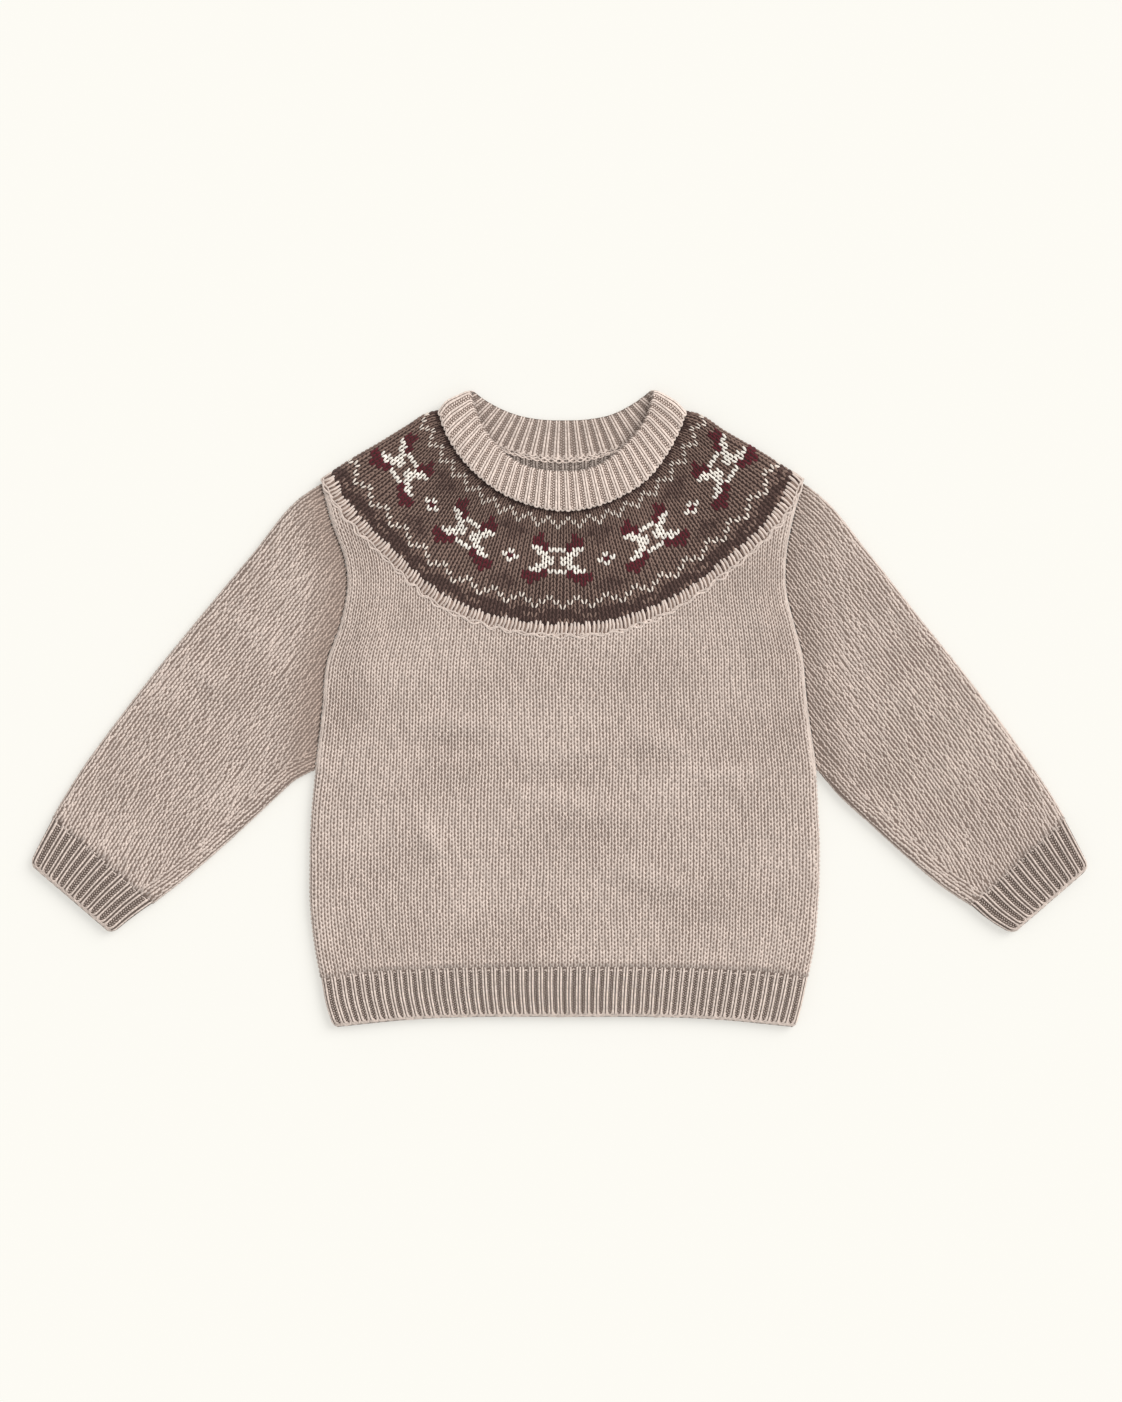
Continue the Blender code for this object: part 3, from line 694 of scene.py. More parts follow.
def body_place(facing):
    """The body's cloth as a place for a column and a row of its stitches, and its columns' last rows."""
    right_edge, left_edge = body_outline()
    hem = line_through(HEM_TOP)
    edge_line = line_through(YOKE_EDGE_FRONT if facing > 0 else YOKE_EDGE_BACK)
    bottom = hem[np.argmax(hem[:, 1]), 1] + SEAM_GAP
    underarm = SIDES["right"]["armhole"][-1][1]
    flat_level = FACE if facing > 0 else UNDER
    quarter = quarter_arc(ROLL, FACE - MIDDLE)
    nominal = BODY_COLUMNS * STITCH_WIDE / 2

    def place(column, row):
        across = (column - BODY_COLUMNS / 2) * STITCH_WIDE
        droop = np.interp(across, hem[:, 0], hem[:, 1]) - bottom
        height = row * STITCH_HIGH
        y = bottom + height + droop * np.clip(1 - height / DROOP_FADE, 0, 1)
        right = np.interp(y, right_edge[:, 1], right_edge[:, 0]) + EDGE_IN
        left = np.interp(y, left_edge[:, 1], left_edge[:, 0]) - EDGE_IN
        width = left - right
        half_arc = width / 2 + quarter - ROLL
        share = across / nominal
        arc = across + (half_arc - nominal) * share * np.abs(share) + half_arc
        distance, turn = turned(arc, width, quarter)
        places = np.stack([right + distance, y], axis=-1)
        flat = flat_level + (folds_at(places) if facing > 0 else 0.0)
        at_armhole = smooth(underarm - 3, underarm + 14, y)
        edge = MIDDLE + ((ARMHOLE_EDGE if facing > 0 else UNDER) - MIDDLE) * at_armhole
        return with_level(places, edge + (flat - edge) * turn)

    def last_row(column):
        """The row where a column meets the yoke's edge."""
        rows = np.linspace(60, BODY_ROWS, 400)
        spots = place(column[:, None], rows[None, :])
        gap = np.interp(spots[..., 0], edge_line[:, 0], edge_line[:, 1]) - spots[..., 1]
        return rows[np.argmax((gap < 0.0) | (spots[..., 1] > SHOULDER), axis=1)]

    return place, last_row


def nearest_of(line, places):
    """The index of a line's nearest sample to each place, and how far to its left the place lies."""
    gaps = places[:, None, :] - line[None, :, :]
    nearest = np.argmin((gaps**2).sum(axis=-1), axis=1)
    slopes = directions(line)
    offset = places - line[nearest]
    return nearest, slopes[nearest, 0] * offset[:, 1] - slopes[nearest, 1] * offset[:, 0]


def make_body(facing, name, materials, leaf):
    """A body panel: its cloth, and its stocking stitches up to the yoke's edge."""
    place, last_row = body_place(facing)
    lift = raised(place, facing)
    across = dense_edges(64) * BODY_COLUMNS
    column = np.broadcast_to(across, (61, len(across)))
    row = np.linspace(0, 1, 61)[:, None] * last_row(across)[None, :]
    shell = layer(f"{name}_cloth", lift, column, row, CLOTH, facing, materials["cloth"])
    middles = np.arange(BODY_COLUMNS) + 0.5
    tops = last_row(middles)
    columns, rows = np.meshgrid(middles, np.arange(BODY_ROWS))
    kept = rows + FIRST_ROW < tops[None, :]
    columns, rows = columns[kept], rows[kept] + FIRST_ROW
    yarn = Yarn()
    size = (STITCH_WIDE, STITCH_HIGH)
    width = LEG_HALF_WIDTH * fullness(columns, rows)
    if facing > 0:
        from_edge = np.minimum(columns, BODY_COLUMNS - columns)
        by_armhole = smooth(UNDERARM_ROW, UNDERARM_ROW + THIN_ROWS, rows)
        width *= 1 - THINNER * by_armhole * np.exp(-(((from_edge - THIN_MIDDLE) / THIN_REACH) ** 2))
        off_roll = (from_edge > 1) | (rows < UNDERARM_ROW)
        columns, rows, width = columns[off_roll], rows[off_roll], width[off_roll]
        for column in (*ROLL_STRANDS, *(BODY_COLUMNS - strand for strand in reversed(ROLL_STRANDS))):
            end = last_row(np.array([column]))[0]
            add_roll(yarn, lift, facing, column, (UNDERARM_ROW - 2, end), size)
    drift, rise = wander(columns, rows, BODY_WANDER)
    paths = stocking_paths(columns + drift, rows + rise, leaf=leaf)
    # The first row is darker: painted shade along the seam to the hem
    shade = np.where(rows < FIRST_ROW + 0.5, SEAM_PAINTED_SHADE, 0.0)
    yarn.add(lift, facing, paths, size, np.tile(width, 2), LEG_HEIGHT, leaf, shade=np.tile(shade, 2))
    return shell, yarn.piece(f"{name}_stitches", materials["beige"])


def add_roll(yarn, lift, facing, column, span, size):
    """A strand of the smooth roll along the body's edge at an armhole: long leaves that overlap."""
    starts = np.arange(span[0], span[1] - 3.5, 1.7)
    shares = shares_of(LEAF)
    shake = rng.normal(0, 0.07, (len(starts), 1))
    paths = np.stack([column + shake + 0 * shares, starts[:, None] + 4.0 * shares], axis=-1)
    yarn.add(lift, facing, paths, size, 0.95, 0.6, LEAF, shade=-0.15)


def sleeve_level(side, facing):
    """The level of the sleeve's face: lower by the armhole, where the body's edge rolls onto it."""
    armhole = smooth_lines(side)["armhole"][::-1]
    turn = 1 if side == "right" else -1

    def level(places, across=None, out=None):
        if facing < 0:
            return np.full(places.shape[:-1], UNDER)
        gap = turn * (np.interp(places[..., 1], armhole[:, 1], armhole[:, 0]) - places[..., 0])
        near = smooth(-6.0, ARMHOLE_RISE, gap)
        return FACE - ARMHOLE_DROP * (1 - near) + folds_at(places) * near

    return level


def edge_place(line, inward, level):
    """Stitch columns that run beside a folded edge, from the wrist up, as places on the cloth."""
    stations = stations_of(line)
    slopes = directions(line)
    window = 90
    padded = np.concatenate([np.repeat(slopes[:1], window, 0), slopes, np.repeat(slopes[-1:], window, 0)])
    kernel = np.hanning(2 * window + 1)
    kernel /= kernel.sum()
    steady = np.stack([np.convolve(padded[:, axis], kernel, "valid") for axis in (0, 1)], axis=1)
    steady /= np.linalg.norm(steady, axis=1)[:, None]
    normals = inward * np.stack([steady[:, 1], -steady[:, 0]], axis=1)
    quarter = quarter_arc(ROLL, FACE - MIDDLE)

    def place(column, row):
        arc, run = column * SLEEVE_STITCH_WIDE, row * STITCH_HIGH
        base = np.stack([np.interp(run, stations, line[:, axis]) for axis in (0, 1)], axis=-1)
        base = base + np.minimum(run, 0)[..., None] * slopes[0]
        base = base + np.maximum(run - stations[-1], 0)[..., None] * steady[-1]
        normal = np.stack([np.interp(run, stations, normals[:, axis]) for axis in (0, 1)], axis=-1)
        angle = np.minimum(arc / quarter, 1) * math.pi / 2
        distance = np.where(arc < quarter, ROLL * (1 - np.cos(angle)), arc - quarter + ROLL)
        places = base + normal * (EDGE_IN + distance)[..., None]
        return with_level(places, MIDDLE + (level(places) - MIDDLE) * np.sin(angle))

    return place


def make_sleeve(side, materials):
    """A sleeve: its flattened tube, columns that follow its upper fold, and a few that follow its lower one.

    The upper fold's columns end at the border, which is the inner edge of the lower fold's.
    """
    lines = smooth_lines(side)
    turn = 1 if side == "right" else -1
    armhole = beside(lines["armhole"], SEAM_GAP * turn)
    top, under = lines["sleeve_top"].copy(), lines["sleeve_under"].copy()
    top[0], under[0] = armhole[0], armhole[-1]
    plan = patch(armhole, np.linspace(top[-1], under[-1], 40), top, under)
    levels = [sleeve_level(side, facing) for facing in (1, -1)]
    tubes = [folded(plan, level, MIDDLE) for level in levels]
    out = np.concatenate([[0, 0.01, 0.03], np.linspace(0.06, 1, 48)])
    grids = tube_grids(tubes[0], tubes[1], dense_edges(34, 0.06), out, CLOTH, turn)
    shell = cloth(f"sleeve_{side}_cloth", grids[0], grids[1], True, materials["cloth"])

    upper, lower = lines["sleeve_top"][::-1], lines["sleeve_under"][::-1]
    armhole = lines["armhole"][::-1]
    end = np.linspace(lines["cuff_under"][0], lines["cuff_top"][0], 60)
    shading = SIDE_SHADING[side]
    yarn = Yarn()
    for facing, level, leaf in ((1, levels[0], LEAF), (-1, levels[1], SHORT_LEAF)):
        run = np.linspace(-BORDER_PAST, length_of(lower) / STITCH_HIGH + BORDER_PAST, BORDER_SAMPLES)
        border = edge_place(lower, -turn, level)(np.full(BORDER_SAMPLES, float(BORDER_COLUMNS)), run)[:, :2]
        for line, inward, count in ((upper, turn, SLEEVE_COLUMNS), (lower, -turn, BORDER_COLUMNS)):
            place = edge_place(line, inward, level)
            columns, rows = np.meshgrid(np.arange(count) + 0.5, np.arange(*SLEEVE_ROWS))
            columns, rows = columns.ravel(), rows.ravel().astype(float)
            spots = place(columns, rows + 0.5)[:, :2]
            from_cuff = -turn * nearest_of(end, spots)[1]
            kept = from_cuff > FROM_CUFF
            edge_x = np.interp(spots[:, 1], armhole[:, 1], armhole[:, 0])
            outside = turn * (edge_x - spots[:, 0])
            kept &= (outside > -UNDER_BODY) | (spots[:, 1] < armhole[0, 1])
            if line is upper:
                kept &= turn * nearest_of(border, spots)[1] > -PAST_BORDER
            else:
                kept &= rows < length_of(lower) / STITCH_HIGH + 5
            columns, rows = columns[kept], rows[kept]
            drift, rise = wander(columns, rows, SLEEVE_WANDER)
            paths = stocking_paths(columns + drift, rows + rise, SLEEVE_SPREAD, SLEEVE_LEG, leaf,
                                   SLEEVE_JITTER, SLEEVE_STAGGER)
            lift = raised(place, facing * inward)
            # The sleeve's beige is darker by the armhole, a painted shade, and its legs are thinner there
            near = 1 - smooth(0.0, SHADED_REACH, outside[kept])
            tint = np.array(BEIGE) * (1 - shading * near[:, None] * np.array(ARMHOLE_SHADE))
            width = SLEEVE_FULLNESS * LEG_HALF_WIDTH * fullness(columns, rows) * (1 - SHADED_THINNER * near)
            # Darker yarn by the cuff is painted shade along the seam to it
            shade = np.where(from_cuff[kept] < STITCH_HIGH, SEAM_PAINTED_SHADE, SLEEVE_SHADE)
            yarn.add(lift, facing * inward, paths, (SLEEVE_STITCH_WIDE, STITCH_HIGH), np.tile(width, 2),
                     LEG_HEIGHT, leaf, tint=np.tile(tint, (2, 1)), shade=np.tile(shade, 2))
            if facing > 0:
                add_roll(yarn, lift, inward, 0.02, (0, length_of(line) / STITCH_HIGH),
                         (SLEEVE_STITCH_WIDE, STITCH_HIGH))
    return shell, yarn.piece(f"sleeve_{side}_stitches", materials["dye_and_painted_shade"])


def rib_wave(share, ribs):
    return RIB_RISE * (0.5 - 0.5 * np.cos(2 * math.pi * share * ribs))


def rib_level(face, ribs, reach, end_roll, far_roll=(0.0, 1.0), wave=1.0):
    """The level of a ribbed face, which rolls down by so much at its free end and at its far end."""
    def level(places, across, out):
        ends = end_roll[0] * (1 - rolled(out * reach, end_roll[1]))
        ends = ends + far_roll[0] * (1 - rolled((1 - out) * reach, far_roll[1]))
        return face - ends + wave * rib_wave(across, ribs)

    return level


def add_ribs(yarn, place, facing, ribs, rows, size, leaf, under=False, bump=(0.33, 0.6, -0.25), first=0,
             past=0, leg=(RIB_HALF_WIDTH, 0.1), spread=(0.15, 0.19)):
    """The two leg lines of each rib, and the purl bumps in the grooves between ribs, but not underneath.

    They start at the first row, and legs reach half a row beyond the last one for each row past it.
    A bump has a half width and a height in millimetres, and a shade; a leg a half width and a shade.
    """
    lift = raised(place, facing)
    columns, levels = np.meshgrid(np.arange(ribs) + 0.5, np.arange(first, rows + past))
    columns, levels = columns.ravel(), levels.ravel().astype(float)
    drift, _ = wander(columns, levels, 0.01)
    shares = shares_of(leaf)
    paths = []
    for side in (-1, 1):
        foot, head = columns + side * spread[0], columns + side * spread[1]
        column = foot[:, None] + (head - foot)[:, None] * shares + drift[:, None]
        row = levels[:, None] - 0.35 + 1.75 * shares + rng.normal(0, 0.02, len(columns))[:, None]
        row = np.minimum(row, rows + 0.5 * past)
        paths.append(np.stack([column, row], axis=-1))
    yarn.add(lift, facing, np.concatenate(paths), size, leg[0], RIB_HEIGHT, leaf, shade=leg[1])
    grooves, levels = np.meshgrid(np.arange(1, ribs), np.arange(first, rows - 0.4, 0.62) + 0.3)
    grooves, levels = grooves.ravel(), levels.ravel()
    shares = shares_of(SHORT_LEAF)
    paths = []
    for side in (-1, 1):
        column = grooves[:, None] + side * 0.11 + 0.17 * (shares - 0.5)
        column = column + rng.normal(0, 0.015, (len(grooves), 1))
        row = levels[:, None] + 0.15 * side + 0.42 * (shares - 0.5) * side
        paths.append(np.stack([column, row], axis=-1))
    paths = np.concatenate(paths)
    if not under:
        yarn.add(lift, facing, paths, size, bump[0], bump[1], SHORT_LEAF, shade=bump[2])


def add_tops(yarn, lift, facing, ribs, row, size):
    """A short pale bar, curved a little, across the head of each groove."""
    grooves = np.arange(1, ribs)
    shares = shares_of(LEAF)
    column = grooves[:, None] + 0.36 * (shares - 0.5) + rng.normal(0, 0.05, (len(grooves), 1))
    level = row + 0.3 * np.sin(shares * math.pi) + rng.normal(0, 0.09, (len(grooves), 1))
    yarn.add(lift, facing, np.stack([column, level], axis=-1), size, 0.5, 0.8, LEAF, edge=0.2, shade=0.3)


def add_turns(yarn, place, facing, ribs, size, low, high, half, around_ribs=False, shade=0.1,
              half_width=0.6, depth=0.75):
    """Yarn that turns round the end of each groove, or of each rib, in a U from the high row to the low.

    Half is the U's half width in ribs, and depth how many rows its round part takes up.
    """
    lift = raised(place, facing)
    middles = np.arange(ribs) + 0.5 if around_ribs else np.arange(1, ribs).astype(float)
    turn = np.linspace(math.pi, 2 * math.pi, 7)
    column = np.concatenate([[-1.0], np.cos(turn), [1.0]]) * half
    row = np.concatenate([[high], low + depth + depth * np.sin(turn), [high]])
    shares = np.linspace(0, 1, len(column))
    leaf = [(share, 0.0 if share in (0, 1) else 1.0, -0.3 if share in (0, 1) else 1.0) for share in shares]
    paths = np.stack([middles[:, None] + column, np.broadcast_to(row, (len(middles), len(row)))], axis=-1)
    yarn.add(lift, facing, paths, size, half_width, RIB_HEIGHT * 0.9, leaf, shade=shade)


def add_edge(yarn, lift, facing, ribs, size, leaf):
    """The soft cast-off edge below the ribs: two rows of wide, dim leaves that lie along it."""
    shares = shares_of(leaf)
    for row, half, shade in ((0.32, 0.95, -0.3), (0.6, 0.8, -0.8)):
        starts = np.arange(0, ribs, 0.5) - 0.1
        column = np.clip(starts[:, None] + 0.75 * shares, 0.02, ribs - 0.02)
        level = row + rng.normal(0, 0.05, (len(starts), 1)) + 0 * shares
        yarn.add(lift, facing, np.stack([column, level], axis=-1), size, half, 0.4, leaf, shade=shade)


def add_welt(yarn, place, facing, ribs, size, leaf, under):
    """All the yarn on one face of a hem or a cuff."""
    lift = raised(place, facing)
    add_ribs(yarn, place, facing, ribs, WELT_ROWS, size, leaf, under=under, first=1, past=1)
    add_turns(yarn, place, facing, ribs, size, **WELT_TURN)
    add_edge(yarn, lift, facing, ribs, size, leaf)
    add_tops(yarn, lift, facing, ribs, WELT_ROWS - WELT_TOPS, size)


def make_hem(facing, name, materials):
    """A hem band: ribs on a cloth that rolls at its lower edge."""
    first, last = (smooth_lines(side)["hem_side"][::-1] for side in ("right", "left"))
    plan = patch(line_through(HEM_EDGE), line_through(HEM_TOP), first, last)
    face = FACE - RIB_DROP if facing > 0 else UNDER
    wave = 1.0 if facing > 0 else UNDER_WAVE
    level = rib_level(face, HEM_RIBS, HEM_REACH, (facing * 1.6, 3.0), wave=wave)
    base = folded(plan, level, MIDDLE, corners=(0, HEM_REACH, HEM_CORNER))
    size = (HEM_RIB_WIDE, HEM_REACH / WELT_ROWS)

    def place(column, row):
        return base(column / HEM_RIBS, row / WELT_ROWS)

    levels = np.array([0.0, 0.01, 0.03, 0.06, 0.1, 0.3, 0.5, 0.7, 0.9, 1.0]) * WELT_ROWS
    column, row = np.meshgrid(np.linspace(0, HEM_RIBS, HEM_RIBS * 4 + 1), levels)
    shell = layer(f"{name}_cloth", raised(place, facing), column, row, CLOTH, facing, materials["rib_cloth"])
    yarn = Yarn()
    leaf = LEAF if facing > 0 else SHORT_LEAF
    add_welt(yarn, place, facing, HEM_RIBS, size, leaf, facing < 0)
    return shell, yarn.piece(f"{name}_stitches", materials["beige"])


def make_cuff(side, materials):
    """A cuff: a ribbed tube that carries the sleeve on to the wrist."""
    lines = smooth_lines(side)
    turn = 1 if side == "right" else -1
    top, under = lines["cuff_top"], lines["cuff_under"]
    outward = SEAM_GAP * np.array([-0.6 * turn, -0.8])
    start = np.linspace(top[0] + outward, under[0] + outward, 40)
    top[0], under[0] = start[0], start[-1]
    plan = patch(start, np.linspace(top[-1], under[-1], 40), top, under)
    levels = (
        rib_level(FACE - RIB_DROP, CUFF_RIBS, CUFF_REACH, (0.3, 2.0), (1.6, 3.0)),
        rib_level(UNDER, CUFF_RIBS, CUFF_REACH, (0.0, 1.0), (-1.2, 3.0), wave=UNDER_WAVE),
    )
    bases = [folded(plan, level, MIDDLE, corners=(1, CUFF_REACH, CUFF_CORNER)) for level in levels]
    out = np.array([0.0, 0.03, 0.3, 0.6, 0.86, 0.9, 0.94, 0.97, 0.99, 1.0])
    grids = tube_grids(bases[0], bases[1], np.linspace(0, 1, CUFF_RIBS * 6 + 1), out, CLOTH, turn)
    shell = cloth(f"cuff_{side}_cloth", grids[0], grids[1], True, materials["rib_cloth"])
    yarn = Yarn()
    size = (CUFF_RIB_WIDE, CUFF_REACH / WELT_ROWS)
    for facing, base, leaf in ((1, bases[0], LEAF), (-1, bases[1], SHORT_LEAF)):
        def place(column, row, base=base):
            return base(column / CUFF_RIBS, 1 - row / WELT_ROWS)

        add_welt(yarn, place, facing * turn, CUFF_RIBS, size, leaf, facing < 0)
    return shell, yarn.piece(f"cuff_{side}_stitches", materials["beige"])


# One repeat of the yoke's pattern from the neck out, its star in the middle and its ring half a repeat
# away: C cream, c pale, R burgundy, D dark, m half dark, . ground
YOKE_CHART = (
    "D.DDD.DD.DDD.DDD",
    "..D...D...D...D.",
    "..c...c...c...c.",
    ".c.c.c.c.c.c.c.c",
    "c...c...c...c...",
    "mm............mm",
    "mDm..R.....R.mDm",
    "mm..RR.....RR..m",
    "m...RRR...RRR..m",
    "....CCRCCCRCC...",
    ".....CC...CC....",
    "C.....CC.CC.....",
    "RC....CC.CC....C",
    "C....CC...CC....",
    "....CCRCCCRCC...",
    "...RRRR...RRRR..",
    "m..RRR.....RRR..",
    "Dm..R.......R..m",
    "mDm...........mm",
    "mm.............m",
    "...c...c...c...c",
    "c.c.c.c.c.c.c.c.",
    ".c...c...c...c..",
    "DD.DDD.DDDD.DDDD",
    "DDDD..DDDDDD..DD",
    "D.DDDDDDD..DDDDD",
)
CHART_COLOURS = {"C": CREAM, "c": PALE, "R": BURGUNDY, "D": DARK_BROWN, "m": HALF_DARK, ".": BROWN}


def even_level(face):
    """The level of a flat face."""
    def level(places, across, out):
        return np.full(places.shape[:-1], face)

    return level


def make_yoke(materials):
    """The yoke: one round tube of stranded colour knit, with tall beige loops round its edge."""
    bases = []
    sides = ((NECK_SEAM_FRONT, YOKE_EDGE_FRONT, FACE), (NECK_SEAM_BACK, YOKE_EDGE_BACK, UNDER))
    for seam, edge, face in sides:
        near, far = beside(line_through(seam), SEAM_GAP), line_through(edge)
        first, last = smooth_lines("right")["shoulder"], smooth_lines("left")["shoulder"]
        first[0], last[0] = near[0], near[-1]
        plan = patch(near, far, first, last)
        bases.append(folded(plan, even_level(face), MIDDLE))
    grids = tube_grids(bases[0], bases[1], dense_edges(60), np.linspace(0, 1, 25), CLOTH, 1)
    shell = cloth("yoke_cloth", grids[0], grids[1], True, materials["yoke_cloth"])
    total = YOKE_ROWS / YOKE_DARK_SHARE
    low = total - YOKE_ROWS
    size = YOKE_STITCH
    yarn, loops = Yarn(), Yarn()
    for facing, base, leaf in ((1, bases[0], LEAF), (-1, bases[1], SHORT_LEAF)):
        def place(column, row, base=base):
            share = column / YOKE_COLUMNS
            return base(share + YOKE_SHIFT * np.sin(share * math.pi), 1 - row / total)

        lift = raised(place, facing)
        columns, rows = np.meshgrid(np.arange(YOKE_COLUMNS), np.arange(YOKE_ROWS))
        columns, rows = columns.ravel(), rows.ravel()
        shift = REPEAT // 2 - YOKE_COLUMNS // 2
        codes = [YOKE_CHART[row][(column + shift) % REPEAT] for column, row in zip(columns, rows)]
        tint = np.array([CHART_COLOURS[code] for code in codes])
        feet = low + YOKE_ROWS - 1 - rows
        drift, rise = wander(columns, feet, YOKE_WANDER)
        plain = np.array([code in ".Dcm" for code in codes])
        half, tall, foot = (np.where(plain, *pair) for pair in zip(PLAIN_LEG, MOTIF_LEG))
        head = np.full(len(plain), YOKE_HEAD)
        paths = vee_paths(columns + 0.5 + drift, feet + rise, foot, head, (-0.2, 1.2), leaf)
        width = np.tile(half * fullness(columns, feet), 2)
        height = np.tile(tall, 2)
        yarn.add(lift, facing, paths, size, width, height, leaf, tint=np.tile(tint, (2, 1)))
        add_loops(loops, lift, facing, size)
        add_chain(loops, lift, facing, (0, YOKE_COLUMNS), -0.15, size, (0.42, 2.35), 1.1, 0.66, 0.15)
        add_chain(loops, lift, facing, (0, YOKE_COLUMNS), 0.1, size, (-0.34, 2.9), 1.1, 0.58, -0.1)
    stitches = yarn.piece("yoke_stitches", materials["dye_and_painted_shade"])
    return shell, stitches, loops.piece("yoke_edge_loops", materials["dye_and_painted_shade"])


def add_loops(yarn, lift, facing, size):
    """The tall beige stitches at the yoke's edge, two legs a column, uneven, on a dark sheet whose colour is
    painted shade between them.
    """
    middles = np.arange(YOKE_COLUMNS) + 0.5
    shares = shares_of(LOOP_LEAF)
    backing = shares_of(BACKING_LEAF)
    # A dark sheet of wide leaves under the loops, its colour painted shade between them
    beneath = np.stack(np.broadcast_arrays(middles[:, None], 2.9 * backing - 0.3), axis=-1)
    shades = np.tile(LOOP_GAP_PAINTED_SHADE, (YOKE_COLUMNS, 1))
    yarn.add(lift, facing, beneath, size, 2.3, 0.3, BACKING_LEAF, tint=shades)
    for side, foot, head in ((-1, 0.28, 0.2), (1, 0.2, 0.28)):
        tops = rng.uniform(2.5, 3.3, YOKE_COLUMNS)
        lean = rng.uniform(-0.1, 0.25, YOKE_COLUMNS)
        run = shares[None, :]
        column = middles[:, None] + side * (foot + (head - foot) * run) + lean[:, None] * run
        column = column + 0.1 * np.sin(run * math.pi)
        row = 0.1 + tops[:, None] * run
        yarn.add(lift, facing, np.stack([column, row], axis=-1), size, 0.68, LEG_HEIGHT * 1.25, LOOP_LEAF,
                 shade=0.2)


def add_chain(yarn, lift, facing, span, row, size, swing, length, half, shade):
    """A wavy strand of overlapping leaves along a row.

    Its swing is a reach in rows and a period in columns.
    """
    starts = np.arange(span[0], span[1] - length * 0.6, length * 0.55)
    shares = shares_of(LEAF)
    column = starts[:, None] + length * shares
    reach, period = swing
    uneven = 1 + 0.35 * np.sin(column * 0.61 + period)
    level = row + reach * uneven * np.sin(2 * math.pi * column / period + 0.8 * np.sin(column * 0.37))
    level = level + rng.normal(0, 0.03, len(starts))[:, None]
    yarn.add(lift, facing, np.stack([column, level], axis=-1), size, half, 1.4, LEAF, edge=0.4, shade=shade)


def make_neckband(materials):
    """The neckband: doubled rib, with a rounded fold at its top and a scalloped edge at its seam."""
    plans = []
    for top, seam in ((NECK_TOP_FRONT, NECK_SEAM_FRONT), (NECK_TOP_BACK, NECK_SEAM_BACK)):
        first, last = smooth_lines("right")["neck_fold"], smooth_lines("left")["neck_fold"]
        plans.append(patch(line_through(top), line_through(seam), first, last, fade=16))
    front_level = rib_level(BAND_FACE, BAND_FRONT_RIBS, BAND_REACH, (1.2, 2.2), (1.2, 3.0))
    under_level = rib_level(UNDER, BAND_FRONT_RIBS, BAND_REACH, (-1.4, 3.0), wave=UNDER_WAVE)
    lining_level = rib_level(BAND_LINING_FACE, BAND_FRONT_RIBS, BAND_REACH, (0.0, 1.0), wave=0.0)
    inner_level = rib_level(BAND_INNER_FACE, BAND_BACK_RIBS, BAND_REACH, (1.2, 3.0))
    corners = (0, BAND_REACH, BAND_CORNER)
    front = folded(plans[0], front_level, BAND_MIDDLE, corners=corners)
    under = folded(plans[1], under_level, BAND_MIDDLE, corners=corners)
    lining = folded(plans[0], lining_level, BAND_MIDDLE, inset=BAND_INSET)
    inner = folded(plans[1], inner_level, BAND_MIDDLE, inset=BAND_INSET)
    across = np.linspace(0, 1, BAND_FRONT_RIBS * 4 + 1)
    out = np.array([0.0, 0.02, 0.05, 0.1, 0.16, 0.3, 0.5, 0.7, 0.88, 0.95, 1.0])
    column, row = np.meshgrid(across, out)
    outer = np.concatenate([front(column, row), under(column, row)[:, -2:0:-1]], axis=1)
    inside = np.concatenate([lining(column, row), inner(column, row)[:, -2:0:-1]], axis=1)
    shell = cloth("neckband_cloth", outer, inside, True, materials["cloth"])
    yarn = Yarn()
    for base, facing, ribs, wide, leaf in (
        (front, 1, BAND_FRONT_RIBS, BAND_RIB_WIDE, LEAF),
        (under, -1, BAND_FRONT_RIBS, BAND_RIB_WIDE, SHORT_LEAF),
        (inner, 1, BAND_BACK_RIBS, BAND_INNER_RIB_WIDE, LEAF),
    ):
        def place(column, row, base=base, ribs=ribs):
            return base(column / ribs, 1 - row / BAND_ROWS)

        size = (wide, BAND_REACH / BAND_ROWS)
        # The front band's brighter bumps and legs are painted light, as it stands highest; the back band's
        # darker bumps are painted shade
        bump = BAND_BUMP_PAINTED_LIGHT if base is front else BAND_HIDDEN_BUMP_PAINTED_SHADE
        leg = BAND_LEG_PAINTED_LIGHT if base is front else BAND_HIDDEN_LEG
        add_ribs(yarn, place, facing, ribs, BAND_ROWS, size, leaf, under=facing < 0, bump=bump, leg=leg,
                 spread=BAND_SPREAD)
        if base is not under:
            add_turns(yarn, place, facing, ribs, size, -0.2, 0.5, 0.27, True, 0.3, 0.58)
            add_turns(yarn, place, facing, ribs, size, -0.12, 0.5, 0.2, False, 0.0, 0.52)
        if base is inner:
            lift = raised(place, facing)
            for reach_each in (-0.36, 0.36):
                add_chain(yarn, lift, facing, (0, ribs), -0.8, size, (reach_each, 1.15), 0.5, 0.55, 0.5)
    strip, strip_stitches = make_neck_strip(materials)
    return shell, yarn.piece("neckband_stitches", materials["beige"]), strip, strip_stitches


